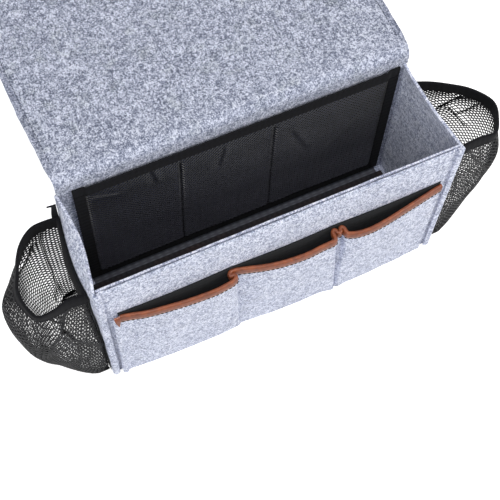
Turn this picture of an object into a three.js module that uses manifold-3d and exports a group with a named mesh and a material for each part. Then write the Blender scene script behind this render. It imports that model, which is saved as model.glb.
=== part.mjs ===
// Bedside caddy: a felt box with a long flap that is pushed under a mattress.
// Millimetres, +Z up, +X along the front, +Y towards the bed. The origin is the middle of the underside.
import * as THREE from 'three';
import { mergeVertices } from 'three/addons/utils/BufferGeometryUtils.js';
import Module from 'manifold-3d';

const wasm = await Module();
wasm.setup();

// Felt box
const boxWidth = 340;
const boxDepth = 100;
const boxHeight = 180;
const feltThickness = 2.4;
const seamGap = 0.3;
// The rim splays out by this much at the front and draws in as much at the back
const rimSplay = 2.4;
// The side panels are drawn inward at the middle of the rim and bulge out below it, most towards the front
const leftRimDraw = 6;
const rightRimDraw = 3;
const leftPanelBelly = 8;
const rightPanelBelly = 2;
const bellyLeanShare = 0.35;
const bellyHeightPower = 4;
const rimDrawPower = 8;
// Raised corner seam: the side panel wraps round the front corner
const cornerLip = 6.5;
const cornerRadius = 2.8;

// Flap of two felt layers
const flapOverhang = 2;
const flapLength = 250;
const flapThickness = 4;
const flapCornerRadius = 18;
const neckHeight = 14.7;

// Front pockets: felt strip, cloth behind it and folded binding along its top
const pocketDrop = 50;
const pocketFelt = 1.8;
const backingCloth = 0.6;
const backingRise = 2;
const backingSag = 2.5;
const leftBelly = 9;
const middleBelly = 12;
const rightBelly = 12;
const footBelly = 1;
const pleatWidth = 11.2;
const pleatDepth = 10;
const pleatLean = 9;
const bindingHeight = 10;
const bindingLeather = 0.7;
const clothGap = 0.2;
const pocketEdgeShares = [-0.471, -0.15, 0.153, 0.464];

// Mesh panel on the inside of the back wall
const meshThickness = 0.6;
const meshLeftMargin = 17;
const meshRightMargin = 10;
const meshBottom = 9;
const meshRise = 2;
const meshStandOff = 4.2;
const meshRamp = 4;
const meshTapeWidth = 10;
const meshTopTapeWidth = 12;
const tapeThickness = 0.8;
const foldedTape = 0.45;
const netBar = 2;
const meshSeamShares = [-0.162, 0.106];

// Mesh bags on the sides, each with a taped mouth
const leftBagDepth = 52;
const rightBagDepth = 54.5;
const bagDrop = 15;
const bagTapeWidth = 14;
const bagTape = 0.9;
const bagWall = 0.8;
const bagFloor = 3;
const bagSeamGap = 0.5;
const bagTapeGap = 0.3;
const leftSwellShare = 0.21;
const rightSwellShare = 0.16;
const bagSwellPower = 1.65;
const bagRoundness = 5;

// Loose base board in its cloth sleeve
const boardThickness = 2.2;
const sleeveCloth = 0.5;

const flapWidth = boxWidth + 2 * flapOverhang;
const halfWidth = boxWidth / 2;
const halfDepth = boxDepth / 2;
const wallBottom = feltThickness + seamGap;

const felt = new THREE.MeshStandardMaterial({ color: '#c6cbda', roughness: 0.95, metalness: 0 });
const flapFelt = new THREE.MeshStandardMaterial({ color: '#a0a6b8', roughness: 0.95, metalness: 0 });
const leather = new THREE.MeshStandardMaterial({ color: '#935443', roughness: 0.55, metalness: 0 });
const net = new THREE.MeshStandardMaterial({ color: '#212127', roughness: 0.8, metalness: 0 });
const tape = new THREE.MeshStandardMaterial({ color: '#14141c', roughness: 0.85, metalness: 0 });
const lining = new THREE.MeshStandardMaterial({ color: '#272a32', roughness: 0.85, metalness: 0 });
const board = new THREE.MeshStandardMaterial({ color: '#3a3a40', roughness: 0.7, metalness: 0 });

const caddy = new THREE.Group();

function addPiece(name, geometry, material) {
  const piece = new THREE.Mesh(geometry, material);
  piece.name = name;
  caddy.add(piece);
  return piece;
}

function closedGeometry(positions, index) {
  const geometry = new THREE.BufferGeometry();
  geometry.setAttribute('position', new THREE.Float32BufferAttribute(positions, 3));
  geometry.setIndex(index);
  geometry.computeVertexNormals();
  return geometry;
}

function toSolid(geometry) {
  const bare = geometry.clone();
  bare.deleteAttribute('normal');
  bare.deleteAttribute('uv');
  const welded = mergeVertices(bare);
  return new wasm.Manifold(new wasm.Mesh({
    numProp: 3,
    vertProperties: new Float32Array(welded.attributes.position.array),
    triVerts: new Uint32Array(welded.index.array),
  }));
}

function toGeometry(solid) {
  const mesh = solid.getMesh();
  return closedGeometry(Array.from(mesh.vertProperties), Array.from(mesh.triVerts));
}

// A sheet with a front and a back skin over a grid of cells, walled round its edge and each open cell
function sheetGeometry(columns, rows, frontAt, backAt, isOpen) {
  const positions = [];
  const index = [];
  for (const skinAt of [frontAt, backAt]) {
    for (let row = 0; row <= rows; row++) {
      for (let column = 0; column <= columns; column++) {
        positions.push(...skinAt(column, row));
      }
    }
  }
  const stride = columns + 1;
  const back = stride * (rows + 1);
  const isSolid = (column, row) => column >= 0 && column < columns && row >= 0 && row < rows
    && !isOpen(column, row);
  const addQuad = (a, b, c, d) => index.push(a, b, c, a, c, d);
  for (let row = 0; row < rows; row++) {
    for (let column = 0; column < columns; column++) {
      if (!isSolid(column, row)) continue;
      const a = row * stride + column;
      const b = a + 1;
      const c = b + stride;
      const d = a + stride;
      addQuad(a, b, c, d);
      addQuad(back + a, back + d, back + c, back + b);
      if (!isSolid(column, row - 1)) addQuad(a, back + a, back + b, b);
      if (!isSolid(column + 1, row)) addQuad(b, back + b, back + c, c);
      if (!isSolid(column, row + 1)) addQuad(c, back + c, back + d, d);
      if (!isSolid(column - 1, row)) addQuad(d, back + d, back + a, a);
    }
  }
  return closedGeometry(positions, index);
}

// The plan path moved sideways by an offset, to the right of its direction, with mitred corners
function offsetPath(path, offset, closed) {
  const last = path.length - 1;
  return path.map(([x, y], place) => {
    const before = path[place > 0 ? place - 1 : (closed ? last : 0)];
    const after = path[place < last ? place + 1 : (closed ? 0 : last)];
    const incoming = new THREE.Vector2(x - before[0], y - before[1]);
    const outgoing = new THREE.Vector2(after[0] - x, after[1] - y);
    if (incoming.length() === 0) incoming.copy(outgoing);
    if (outgoing.length() === 0) outgoing.copy(incoming);
    incoming.normalize();
    outgoing.normalize();
    const along = incoming.clone().add(outgoing).normalize();
    const reach = offset / along.dot(incoming);
    return [x + along.y * reach, y - along.x * reach];
  });
}

// A band that follows a plan path: its section is a loop of [offset, height] points, anticlockwise
function bandGeometry(pathAt, section, closed) {
  const lines = section.map(([offset, height]) => offsetPath(pathAt(height), offset, closed)
    .map(([x, y]) => [x, y, height]));
  const sides = section.length;
  const steps = lines[0].length;
  const positions = [];
  for (let step = 0; step < steps; step++) {
    for (let side = 0; side < sides; side++) {
      positions.push(...lines[side][step]);
    }
  }
  const index = [];
  const runs = closed ? steps : steps - 1;
  for (let step = 0; step < runs; step++) {
    const near = step * sides;
    const far = ((step + 1) % steps) * sides;
    for (let side = 0; side < sides; side++) {
      const next = (side + 1) % sides;
      index.push(near + side, far + side, far + next, near + side, far + next, near + next);
    }
  }
  if (!closed) {
    const outline = section.map(([offset, height]) => new THREE.Vector2(offset, height));
    const end = (steps - 1) * sides;
    for (const [a, b, c] of THREE.ShapeUtils.triangulateShape(outline, [])) {
      index.push(a, b, c, end + a, end + c, end + b);
    }
  }
  return closedGeometry(positions, index);
}

// A flat strip of cloth standing between two heights, with rows at the given shares of its height
function stripSection(inner, outer, bottom, top, rowShares) {
  const heights = rowShares.map((share) => bottom + (top - bottom) * share);
  const rising = heights.map((height) => [outer, height]);
  const falling = heights.map((height) => [inner, height]).reverse();
  return [...rising, ...falling];
}

// A tape folded over the top edge of a cloth, with rows at any middle heights given
function foldSection(clothHalf, clearance, tapeWall, clothTop, width, middles = []) {
  const inside = clothHalf + clearance;
  const outside = inside + tapeWall;
  const roof = clothTop + clearance;
  const top = roof + tapeWall;
  const bottom = top - width;
  const rising = (offset) => middles.map((height) => [offset, height]);
  const falling = (offset) => rising(offset).reverse();
  return [[inside, bottom], [outside, bottom], ...rising(outside), [outside, top], [-outside, top],
    ...falling(-outside), [-outside, bottom], [-inside, bottom], ...rising(-inside), [-inside, roof],
    [inside, roof], ...falling(inside)];
}

// A panel drawn in X and Z, as thick as given, with its rear face at the given Y
function addPanel(name, shape, thickness, rearFace, material) {
  const geometry = new THREE.ExtrudeGeometry(shape, { depth: thickness, bevelEnabled: false });
  const piece = addPiece(name, geometry, material);
  piece.rotation.x = Math.PI / 2;
  piece.position.y = rearFace;
  return piece;
}

function outlineShape(points) {
  return new THREE.Shape(points.map(([x, y]) => new THREE.Vector2(x, y)));
}

function roundedShape(left, right, low, high, radius) {
  const shape = new THREE.Shape();
  shape.moveTo(left + radius, low);
  shape.lineTo(right - radius, low);
  shape.absarc(right - radius, low + radius, radius, -Math.PI / 2, 0);
  shape.lineTo(right, high - radius);
  shape.absarc(right - radius, high - radius, radius, 0, Math.PI / 2);
  shape.lineTo(left + radius, high);
  shape.absarc(left + radius, high - radius, radius, Math.PI / 2, Math.PI);
  shape.lineTo(left, low + radius);
  shape.absarc(left + radius, low + radius, radius, Math.PI, Math.PI * 1.5);
  return shape;
}

// A plate lying flat, from one height up
function addPlate(name, shape, thickness, bottom, material) {
  const options = { depth: thickness, bevelEnabled: false, curveSegments: 6 };
  const piece = addPiece(name, new THREE.ExtrudeGeometry(shape, options), material);
  piece.position.z = bottom;
  return piece;
}

// Outer face of a side panel, measured from the middle plane of the box
function sideFace(y, height, form) {
  const rise = height / boxHeight;
  const splay = rimSplay * (y / halfDepth) * rise;
  const hump = Math.sin(Math.PI * rise ** bellyHeightPower) * (1 - bellyLeanShare * y / halfDepth);
  const bow = Math.cos(Math.PI * y / boxDepth) * (form.belly * hump - form.draw * rise ** rimDrawPower);
  return halfWidth - splay + bow;
}

const leftForm = { draw: leftRimDraw, belly: leftPanelBelly };
const rightForm = { draw: rightRimDraw, belly: rightPanelBelly };

// Side panels
const lipFace = -(halfDepth + seamGap + feltThickness);

function sidePath(height, form) {
  const sideSteps = 14;
  const cornerSteps = 4;
  const start = lipFace + cornerRadius;
  const path = [];
  for (let step = 0; step <= sideSteps; step++) {
    const y = halfDepth - (halfDepth - start) * step / sideSteps;
    path.push([sideFace(y, height, form), y]);
  }
  const centre = sideFace(start, height, form) - cornerRadius;
  for (let step = 1; step <= cornerSteps; step++) {
    const angle = Math.PI / 2 * step / cornerSteps;
    path.push([centre + cornerRadius * Math.cos(angle), start - cornerRadius * Math.sin(angle)]);
  }
  path.push([sideFace(start, height, form) - cornerLip, lipFace]);
  return path;
}

const mirrored = (path) => path.map(([x, y]) => [-x, y]).reverse();
// Its rows follow the bulge, with one at each edge of the bags' mouth tape, so that the tape lies along it
const bagMouthTop = boxHeight - bagDrop;
const bagTapeFoot = bagMouthTop - bagTapeWidth;
const bagTapeMiddle = bagMouthTop - bagTapeWidth / 2;
const lowRowShares = [0, 0.35, 0.6, 0.78, 0.9, 1];
const sideHeights = [...lowRowShares.map((share) => wallBottom + (bagTapeFoot - wallBottom) * share),
  bagTapeMiddle, bagMouthTop, (bagMouthTop + boxHeight) / 2, boxHeight];
const sideSection = [...sideHeights.map((height) => [feltThickness, height]),
  ...sideHeights.map((height) => [0, height]).reverse()];
addPiece('right_side_panel',
  bandGeometry((height) => sidePath(height, rightForm), sideSection, false), felt);
addPiece('left_side_panel',
  bandGeometry((height) => mirrored(sidePath(height, leftForm)), sideSection, false), felt);

// Front wall, two layers, and the back wall with its neck
function wallEdges(innerFace, height) {
  const left = -(sideFace(innerFace, height, leftForm) - feltThickness - seamGap);
  const right = sideFace(innerFace, height, rightForm) - feltThickness - seamGap;
  return [left, right];
}

function addFrontLayer(name, rearFace) {
  const [lowLeft, lowRight] = wallEdges(rearFace, wallBottom);
  const [highLeft, highRight] = wallEdges(rearFace, boxHeight);
  const shape = outlineShape([[lowLeft, wallBottom], [lowRight, wallBottom],
    [highRight, boxHeight], [highLeft, boxHeight]]);
  addPanel(name, shape, feltThickness, rearFace, felt);
}

const frontRear = -halfDepth + feltThickness;
const liningRear = frontRear + seamGap + feltThickness;
addFrontLayer('front_panel', frontRear);
addFrontLayer('front_lining', liningRear);

const backFace = halfDepth - feltThickness;
const neckTop = boxHeight + neckHeight;
const neckHalf = flapWidth / 2;
const neckStart = boxHeight + seamGap;
const [backLowLeft, backLowRight] = wallEdges(backFace, wallBottom);
const [backHighLeft, backHighRight] = wallEdges(backFace, boxHeight);
addPanel('back_panel', outlineShape([[backLowLeft, wallBottom], [backLowRight, wallBottom],
  [backHighRight, neckStart], [neckHalf, neckStart], [neckHalf, neckTop], [-neckHalf, neckTop],
  [-neckHalf, neckStart], [backHighLeft, neckStart]]), feltThickness, halfDepth, felt);

// Bottom
addPlate('bottom_panel', roundedShape(-halfWidth, halfWidth, -halfDepth, halfDepth, cornerRadius),
  feltThickness, 0, felt);

// Base board and sleeve: they clear the drawn rim and the mesh panel when they are lifted out
const meshPlane = backFace - seamGap - meshThickness / 2 - clothGap - foldedTape;
const meshFront = meshPlane - meshStandOff - meshThickness / 2 - clothGap - foldedTape;
const sleeveLeft = -(halfWidth - feltThickness - leftRimDraw - rimSplay / 2 - seamGap);
const sleeveRight = halfWidth - feltThickness - rightRimDraw - rimSplay / 2 - seamGap;
const sleeveFront = liningRear + 2 * seamGap;
const sleeveRear = meshFront - 2 * seamGap;
const sleeveHeight = boardThickness + 2 * clothGap + 2 * sleeveCloth;
const sleeveBottom = feltThickness + seamGap;
const sleeveMiddle = (sleeveFront + sleeveRear) / 2;

// The sleeve is a flat tube that is open at its right end
const sleeveSkin = new THREE.BoxGeometry(sleeveRight - sleeveLeft, sleeveRear - sleeveFront, sleeveHeight);
const sleeveBore = new THREE.BoxGeometry(sleeveRight - sleeveLeft, sleeveRear - sleeveFront - 2 * sleeveCloth,
  sleeveHeight - 2 * sleeveCloth);
sleeveBore.translate(sleeveCloth, 0, 0);
const sleeve = addPiece('base_board_sleeve',
  toGeometry(toSolid(sleeveSkin).subtract(toSolid(sleeveBore))), lining);
sleeve.position.set((sleeveLeft + sleeveRight) / 2, sleeveMiddle, sleeveBottom + sleeveHeight / 2);
const boardInset = sleeveCloth + clothGap;
addPlate('base_board', roundedShape(sleeveLeft + boardInset, sleeveRight - boardInset,
  sleeveFront + boardInset, sleeveRear - boardInset, cornerRadius),
  boardThickness, sleeveBottom + boardInset, board);

// Flap: two layers that turn about the bend, the top one rolled round it
const bendY = halfDepth + seamGap + flapThickness / 2;
const bendZ = neckTop + seamGap + flapThickness / 2;
const rollRadius = Math.SQRT2 * (flapThickness / 2 + seamGap) - seamGap;
const layerStart = seamGap / 2;
const layerEnd = flapThickness / 2;

function flapLayer(section) {
  const geometry = new THREE.ExtrudeGeometry(section, { depth: flapWidth, bevelEnabled: false });
  const across = new THREE.Matrix4().makeBasis(new THREE.Vector3(0, 1, 0), new THREE.Vector3(0, 0, 1),
    new THREE.Vector3(1, 0, 0));
  geometry.applyMatrix4(across);
  geometry.translate(-flapWidth / 2, 0, 0);
  const plan = roundedShape(-flapWidth / 2, flapWidth / 2, -flapLength, flapLength, flapCornerRadius);
  const stock = new THREE.ExtrudeGeometry(plan,
    { depth: 2 * flapThickness, bevelEnabled: false, curveSegments: 8 });
  stock.translate(0, 0, -flapThickness);
  return toGeometry(toSolid(geometry).intersect(toSolid(stock)));
}

const topSection = new THREE.Shape();
topSection.moveTo(flapLength, layerStart);
topSection.lineTo(flapLength, layerEnd);
topSection.lineTo(rollRadius * Math.cos(Math.asin(layerEnd / rollRadius)), layerEnd);
topSection.absarc(0, 0, rollRadius, Math.asin(layerEnd / rollRadius),
  2 * Math.PI + Math.asin(layerStart / rollRadius));
addPiece('flap_top_layer', flapLayer(topSection), flapFelt).position.set(0, bendY, bendZ);

const underStart = rollRadius + seamGap;
const underSection = outlineShape([[underStart, -layerEnd], [flapLength, -layerEnd],
  [flapLength, -layerStart], [underStart, -layerStart]]);
addPiece('flap_under_layer', flapLayer(underSection), flapFelt).position.set(0, bendY, bendZ);

// Front pockets: one strip pleated at two dividers, so that it stands off in three bellies.
// Each belly is a curve through points along the pocket, as shares of its width and of its depth.
const pocketEdges = pocketEdgeShares.map((share) => share * boxWidth);
const pockets = [
  { belly: leftBelly, bellyShares: [[0.06, 0.1], [0.21, 0.46], [0.36, 0.66], [0.53, 0.84], [0.69, 0.94],
    [0.84, 0.95]] },
  { belly: middleBelly, bellyShares: [[0.07, 0.14], [0.14, 0.3], [0.31, 0.68], [0.5, 0.92], [0.7, 1],
    [0.87, 0.9]] },
  { belly: rightBelly, bellyShares: [[0.06, 0.96], [0.14, 1.04], [0.22, 1.04], [0.36, 0.92], [0.56, 0.64],
    [0.76, 0.34], [0.93, 0.08]] },
];

// Seen from above, the first pleat is a single curl and the second a box pleat with a narrow neck.
// The points run from one pocket to the next: across the pleat and forward of the wall, as shares of it.
const pleats = [
  { centre: pocketEdges[1], foldShares: [[0.04, 0.78], [0.14, 0.52], [-0.11, 0.3], [-0.02, 0.04], [0.3, 0]] },
  { centre: pocketEdges[2], foldShares: [[-0.54, 1.06], [-0.34, 0.99], [-0.32, 0.78], [-0.48, 0.45],
    [-0.45, 0.16], [-0.23, 0], [0.14, 0], [0.41, 0.08], [0.52, 0.38], [0.47, 0.62], [0.36, 0.82],
    [0.67, 0.98]] },
];
const pocketTop = boxHeight - pocketDrop;
const bindingHalf = pocketFelt / 2 + clothGap + bindingLeather;
const backingFace = halfDepth + seamGap + backingCloth;
const topPlane = -(backingFace + seamGap + bindingHalf);
const footPlane = -(backingFace + seamGap + pocketFelt / 2);
const stripBottom = wallBottom;
const stripTop = pocketTop - clothGap - bindingLeather;

// The pleats open out towards the foot, where the strip lies along the wall
function pocketPath(height) {
  const rise = (height - stripBottom) / (pocketTop - stripBottom);
  const blend = (low, high) => low + (high - low) * rise;
  const folds = pleats.map(({ centre, foldShares }) => foldShares.map(([across, forward], place) => {
    const spread = place / (foldShares.length - 1) - 0.5;
    return [centre + blend(pleatLean + pleatWidth * spread, pleatWidth * across),
      blend(footBelly * (2 * spread) ** 2, pleatDepth * forward)];
  }));
  const ends = [[[pocketEdges[0], 0]], ...folds, [[pocketEdges[3], 0]]];
  const path = [];
  pockets.forEach(({ belly, bellyShares }, place) => {
    const start = ends[place][ends[place].length - 1];
    const end = ends[place + 1][0];
    const knots = bellyShares.map(([along, out]) => [start[0] + (end[0] - start[0]) * along,
      blend(footBelly, belly) * out]);
    const curve = new THREE.CatmullRomCurve3([start, ...knots, end]
      .map(([x, forward]) => new THREE.Vector3(x, forward, 0)), false, 'centripetal');
    path.push(...curve.getPoints(14).map(({ x, y }) => [x, y]), ...ends[place + 1].slice(1, -1));
  });
  const plane = blend(footPlane, topPlane);
  return path.map(([x, forward]) => [x, plane - forward]);
}

const bindingFootShare = 1 - (bindingHeight - clothGap - bindingLeather) / (stripTop - stripBottom);
const pocketRowShares = [0, 0.2, 0.4, 0.6, 0.78, bindingFootShare, 1];
const pocketSection = stripSection(-pocketFelt / 2, pocketFelt / 2, stripBottom, stripTop, pocketRowShares);
const bindingSection = foldSection(pocketFelt / 2, clothGap, bindingLeather, stripTop, bindingHeight);
addPiece('pocket_strip', bandGeometry(pocketPath, pocketSection, false), felt);
addPiece('pocket_binding', bandGeometry(pocketPath, bindingSection, false), leather);

// The cloth behind the strip, whose top edge sags between the dividers
const backingTop = pocketTop + backingRise;
const backingShape = new THREE.Shape();
backingShape.moveTo(pocketEdges[0], wallBottom);
backingShape.lineTo(pocketEdges[3], wallBottom);
backingShape.lineTo(pocketEdges[3], backingTop);
for (let place = pockets.length - 1; place >= 0; place--) {
  const middle = (pocketEdges[place] + pocketEdges[place + 1]) / 2;
  backingShape.quadraticCurveTo(middle, backingTop - 2 * backingSag, pocketEdges[place], backingTop);
}
const backing = new THREE.ExtrudeGeometry(backingShape,
  { depth: backingCloth, bevelEnabled: false, curveSegments: 6 });
const backingPiece = addPiece('pocket_backing', backing, lining);
backingPiece.rotation.x = Math.PI / 2;
backingPiece.position.y = -halfDepth - seamGap;

// Mesh panel inside the back wall: stations along X and Z, each with how far it stands off the wall
const meshSeams = meshSeamShares.map((share) => share * boxWidth);
const meshLeft = halfWidth - meshLeftMargin;
const meshRight = halfWidth - meshRightMargin;
const meshTop = boxHeight + meshRise;
const seamFlat = 2;
const fieldColumns = [5, 5, 6];
const netRows = 8;

function netStations(start, end, count) {
  const pitch = (end - start) / count;
  const stations = [];
  for (let place = 0; place < count; place++) {
    stations.push({ at: start + place * pitch + netBar / 2, out: 1, gap: true });
    stations.push({ at: start + (place + 1) * pitch - netBar / 2, out: 1, gap: false });
  }
  return stations;
}

const fieldStarts = [-meshLeft + meshTapeWidth + tapeThickness, meshSeams[0] + seamFlat / 2,
  meshSeams[1] + seamFlat / 2];
const fieldEnds = [meshSeams[0] - seamFlat / 2, meshSeams[1] - seamFlat / 2,
  meshRight - meshTapeWidth - tapeThickness];
const foldStations = [{ at: -meshLeft, out: 0 }];
const columnStations = [{ at: -meshLeft, out: 0, gap: false }];
fieldColumns.forEach((count, place) => {
  const start = { at: fieldStarts[place], out: 0, gap: false };
  const end = { at: fieldEnds[place], out: 0, gap: false };
  const open = { at: fieldStarts[place] + meshRamp, out: 1, gap: false };
  const close = { at: fieldEnds[place] - meshRamp, out: 1, gap: false };
  foldStations.push(start, open, close, end);
  columnStations.push(start, open, ...netStations(open.at, close.at, count), close, end);
});
foldStations.push({ at: meshRight, out: 0 });
columnStations.push({ at: meshRight, out: 0, gap: false });

const meshEdge = meshTop - clothGap - foldedTape;
const rowStart = meshBottom + meshTapeWidth + tapeThickness;
const rowOpen = { at: rowStart + meshRamp, out: 1, gap: false };
const rowClose = { at: meshTop - meshTopTapeWidth, out: 1, gap: false };
const rowStations = [{ at: meshBottom, out: 0, gap: false }, { at: rowStart, out: 0, gap: false }, rowOpen,
  ...netStations(rowOpen.at, rowClose.at, netRows), rowClose, { at: meshEdge, out: 1, gap: false }];

const meshSkin = (offset) => (column, row) => {
  const across = columnStations[column];
  const up = rowStations[row];
  return [across.at, meshPlane - meshStandOff * across.out * up.out + offset, up.at];
};
addPiece('mesh_panel', sheetGeometry(columnStations.length - 1, rowStations.length - 1,
  meshSkin(-meshThickness / 2), meshSkin(meshThickness / 2),
  (column, row) => columnStations[column].gap && rowStations[row].gap), net);
addPiece('mesh_panel_top_binding', bandGeometry(
  () => foldStations.map(({ at, out }) => [at, meshPlane - meshStandOff * out]),
  foldSection(meshThickness / 2, clothGap, foldedTape, meshEdge, meshTopTapeWidth), false), tape);

const tapeTop = meshTop - meshTopTapeWidth - seamGap;
addPanel('mesh_panel_edge_tape', outlineShape([[-meshLeft, meshBottom], [meshRight, meshBottom],
  [meshRight, tapeTop], [meshRight - meshTapeWidth, tapeTop],
  [meshRight - meshTapeWidth, meshBottom + meshTapeWidth],
  [-meshLeft + meshTapeWidth, meshBottom + meshTapeWidth],
  [-meshLeft + meshTapeWidth, tapeTop], [-meshLeft, tapeTop]]),
  tapeThickness, meshPlane - meshThickness / 2 - clothGap, tape);

// Mesh bags: a D-shaped mouth over a swollen body with a half-round floor.
// Both outlines run from the back to the front, as shares of the bag's depth and of half the box's depth.
const leftMouthShares = [[0, 0.75], [0.23, 0.77], [0.49, 0.75], [0.75, 0.5], [0.91, 0.07], [1, -0.2],
  [0.97, -0.5], [0.82, -0.82], [0.57, -0.82], [0.28, -0.74], [0, -0.77]];
const rightMouthShares = [[0, 0.73], [0.27, 0.6], [0.54, 0.41], [0.79, 0.19], [0.98, -0.13], [1, -0.3],
  [0.91, -0.53], [0.72, -0.8], [0.44, -0.79], [0.23, -0.8], [0, -0.83]];
const floorShares = [[0, 0.84], [0.28, 0.87], [0.52, 0.78], [0.74, 0.54], [0.89, 0.21], [0.95, -0.1],
  [0.92, -0.38], [0.81, -0.64], [0.6, -0.83], [0.33, -0.91], [0, -0.88]];
const bagTapeHalf = bagWall / 2 + bagTapeGap + bagTape;
const bagTop = bagMouthTop - bagTapeGap - bagTape;

function bagPath(height, bag) {
  const rise = (height - bagFloor) / (bagMouthTop - bagFloor);
  const fall = (1 - rise) * (1 - bagFloor / bagMouthTop);
  const round = (1 - fall ** bagRoundness) ** (1 / bagRoundness);
  const swell = bag.swellShare * Math.sin(Math.PI * rise ** bagSwellPower);
  const knots = bag.mouthShares.map(([mouthOut, mouthAlong], place) => {
    const [floorOut, floorAlong] = floorShares[place];
    const out = floorOut + (mouthOut - floorOut) * rise;
    const along = floorAlong + (mouthAlong - floorAlong) * rise;
    return new THREE.Vector3(out * (1 + swell) * round * bag.depth, along * (1 + swell * out) * halfDepth, 0);
  });
  const curve = new THREE.CatmullRomCurve3(knots, false, 'centripetal');
  const innerSteps = 14;
  const run = curve.getPoints(22).map(({ x, y }) => [x, y]);
  const [backEnd, frontEnd] = [run[0][1], run[run.length - 1][1]];
  for (let step = 1; step < innerSteps; step++) {
    run.push([0, frontEnd + (backEnd - frontEnd) * step / innerSteps]);
  }
  return run.map(([out, y]) => [sideFace(y, height, bag.form) + bagSeamGap + bagTapeHalf + out, y]);
}

// A pouch: loops up the outside, over the rim and down the inside, closed by a floor on both skins
function pouchGeometry(pathAt) {
  const rows = 8;
  const loops = [];
  const loopAt = (height, offset) => offsetPath(pathAt(height), offset, true).map(([x, y]) => [x, y, height]);
  const heightAt = (bottom, row) => bottom + (bagTapeFoot - bottom) * (row / rows) ** 1.5;
  for (let row = 0; row <= rows; row++) {
    loops.push(loopAt(heightAt(bagFloor, row), bagWall / 2));
  }
  loops.push(loopAt(bagTapeMiddle, bagWall / 2), loopAt(bagTop, bagWall / 2));
  loops.push(loopAt(bagTop, -bagWall / 2), loopAt(bagTapeMiddle, -bagWall / 2));
  for (let row = rows; row >= 0; row--) {
    loops.push(loopAt(heightAt(bagFloor + bagWall, row), -bagWall / 2));
  }
  const steps = loops[0].length;
  const positions = loops.flat(2);
  const index = [];
  for (let loop = 0; loop < loops.length - 1; loop++) {
    for (let step = 0; step < steps; step++) {
      const a = loop * steps + step;
      const b = loop * steps + (step + 1) % steps;
      index.push(a, b, b + steps, a, b + steps, a + steps);
    }
  }
  for (const [loop, turn] of [[0, 1], [loops.length - 1, -1]]) {
    const outline = loops[loop].map(([x, y]) => new THREE.Vector2(x, y));
    const start = loop * steps;
    for (const [a, b, c] of THREE.ShapeUtils.triangulateShape(outline, [])) {
      index.push(start + a, start + (turn > 0 ? c : b), start + (turn > 0 ? b : c));
    }
  }
  return closedGeometry(positions, index);
}

const bagTapeSection = foldSection(bagWall / 2, bagTapeGap, bagTape, bagTop, bagTapeWidth, [bagTapeMiddle]);
const bags = [
  { side: 'right', mouthShares: rightMouthShares, depth: rightBagDepth, swellShare: rightSwellShare,
    form: rightForm },
  { side: 'left', mouthShares: leftMouthShares, depth: leftBagDepth, swellShare: leftSwellShare,
    form: leftForm },
];
for (const bag of bags) {
  const { side } = bag;
  const pathAt = (height) => (side === 'left' ? mirrored(bagPath(height, bag)) : bagPath(height, bag));
  const anticlockwise = (height) => [...pathAt(height)].reverse();
  addPiece(`${side}_mesh_bag`, pouchGeometry(anticlockwise), net);
  addPiece(`${side}_bag_binding`, bandGeometry(anticlockwise, bagTapeSection, true), tape);
}

export default caddy;
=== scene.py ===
# Bedside caddy: a felt box with a long flap, front pockets bound in brown leather-look trim,
# a net panel inside and a net bag on each side.
# Lengths are in millimetres until a mesh is made, and +Z is up.
import math
import bpy
import numpy as np
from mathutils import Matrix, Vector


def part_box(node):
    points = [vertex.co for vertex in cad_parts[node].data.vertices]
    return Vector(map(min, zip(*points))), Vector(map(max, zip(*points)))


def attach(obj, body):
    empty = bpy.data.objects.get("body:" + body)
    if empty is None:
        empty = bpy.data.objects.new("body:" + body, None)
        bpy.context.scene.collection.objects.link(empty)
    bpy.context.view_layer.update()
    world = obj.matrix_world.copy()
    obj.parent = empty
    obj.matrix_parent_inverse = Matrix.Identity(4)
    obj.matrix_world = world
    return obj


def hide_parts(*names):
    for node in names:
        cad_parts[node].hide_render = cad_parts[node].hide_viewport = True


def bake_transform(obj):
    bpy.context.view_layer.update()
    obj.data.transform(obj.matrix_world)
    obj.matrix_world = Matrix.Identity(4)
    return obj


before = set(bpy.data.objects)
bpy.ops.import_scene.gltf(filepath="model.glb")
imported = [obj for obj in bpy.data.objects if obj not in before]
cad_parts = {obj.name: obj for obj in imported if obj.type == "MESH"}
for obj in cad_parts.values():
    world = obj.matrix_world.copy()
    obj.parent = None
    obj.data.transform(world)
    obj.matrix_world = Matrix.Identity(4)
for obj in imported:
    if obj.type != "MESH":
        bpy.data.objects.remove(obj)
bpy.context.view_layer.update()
MM = 0.001


def span(name):
    """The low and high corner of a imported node's box."""
    return [[value / MM for value in corner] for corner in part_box(name)]


# Felt box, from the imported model
half_width, half_depth, felt = span("bottom_panel")[1]
wall_low, wall_high = span("front_panel")
wall_bottom = wall_low[2]
box_height = wall_high[2]
seam_gap = wall_bottom - felt
rim_splay = 2.4
left_form = {"draw": 6, "belly": 8}
right_form = {"draw": 3, "belly": 2}
belly_lean_share = 0.35
belly_height_power = 4
rim_draw_power = 8
corner_lip = 6.5
corner_radius = 2.8
lip_edge = 1.5
lip_foot = 0.3
lip_face = -(half_depth + seam_gap + felt)
front_felt = 1.7
front_rear = -half_depth + felt
lining_rear = front_rear + seam_gap + felt
back_face = half_depth - felt
groove_depth = 0.75
rim_groove_drop = 1.8
rim_groove_width = 0.55
lip_groove_inset = 1.2
lip_groove_width = 1.8
felt_edge = 0.55
thin_edge = 0.45

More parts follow.
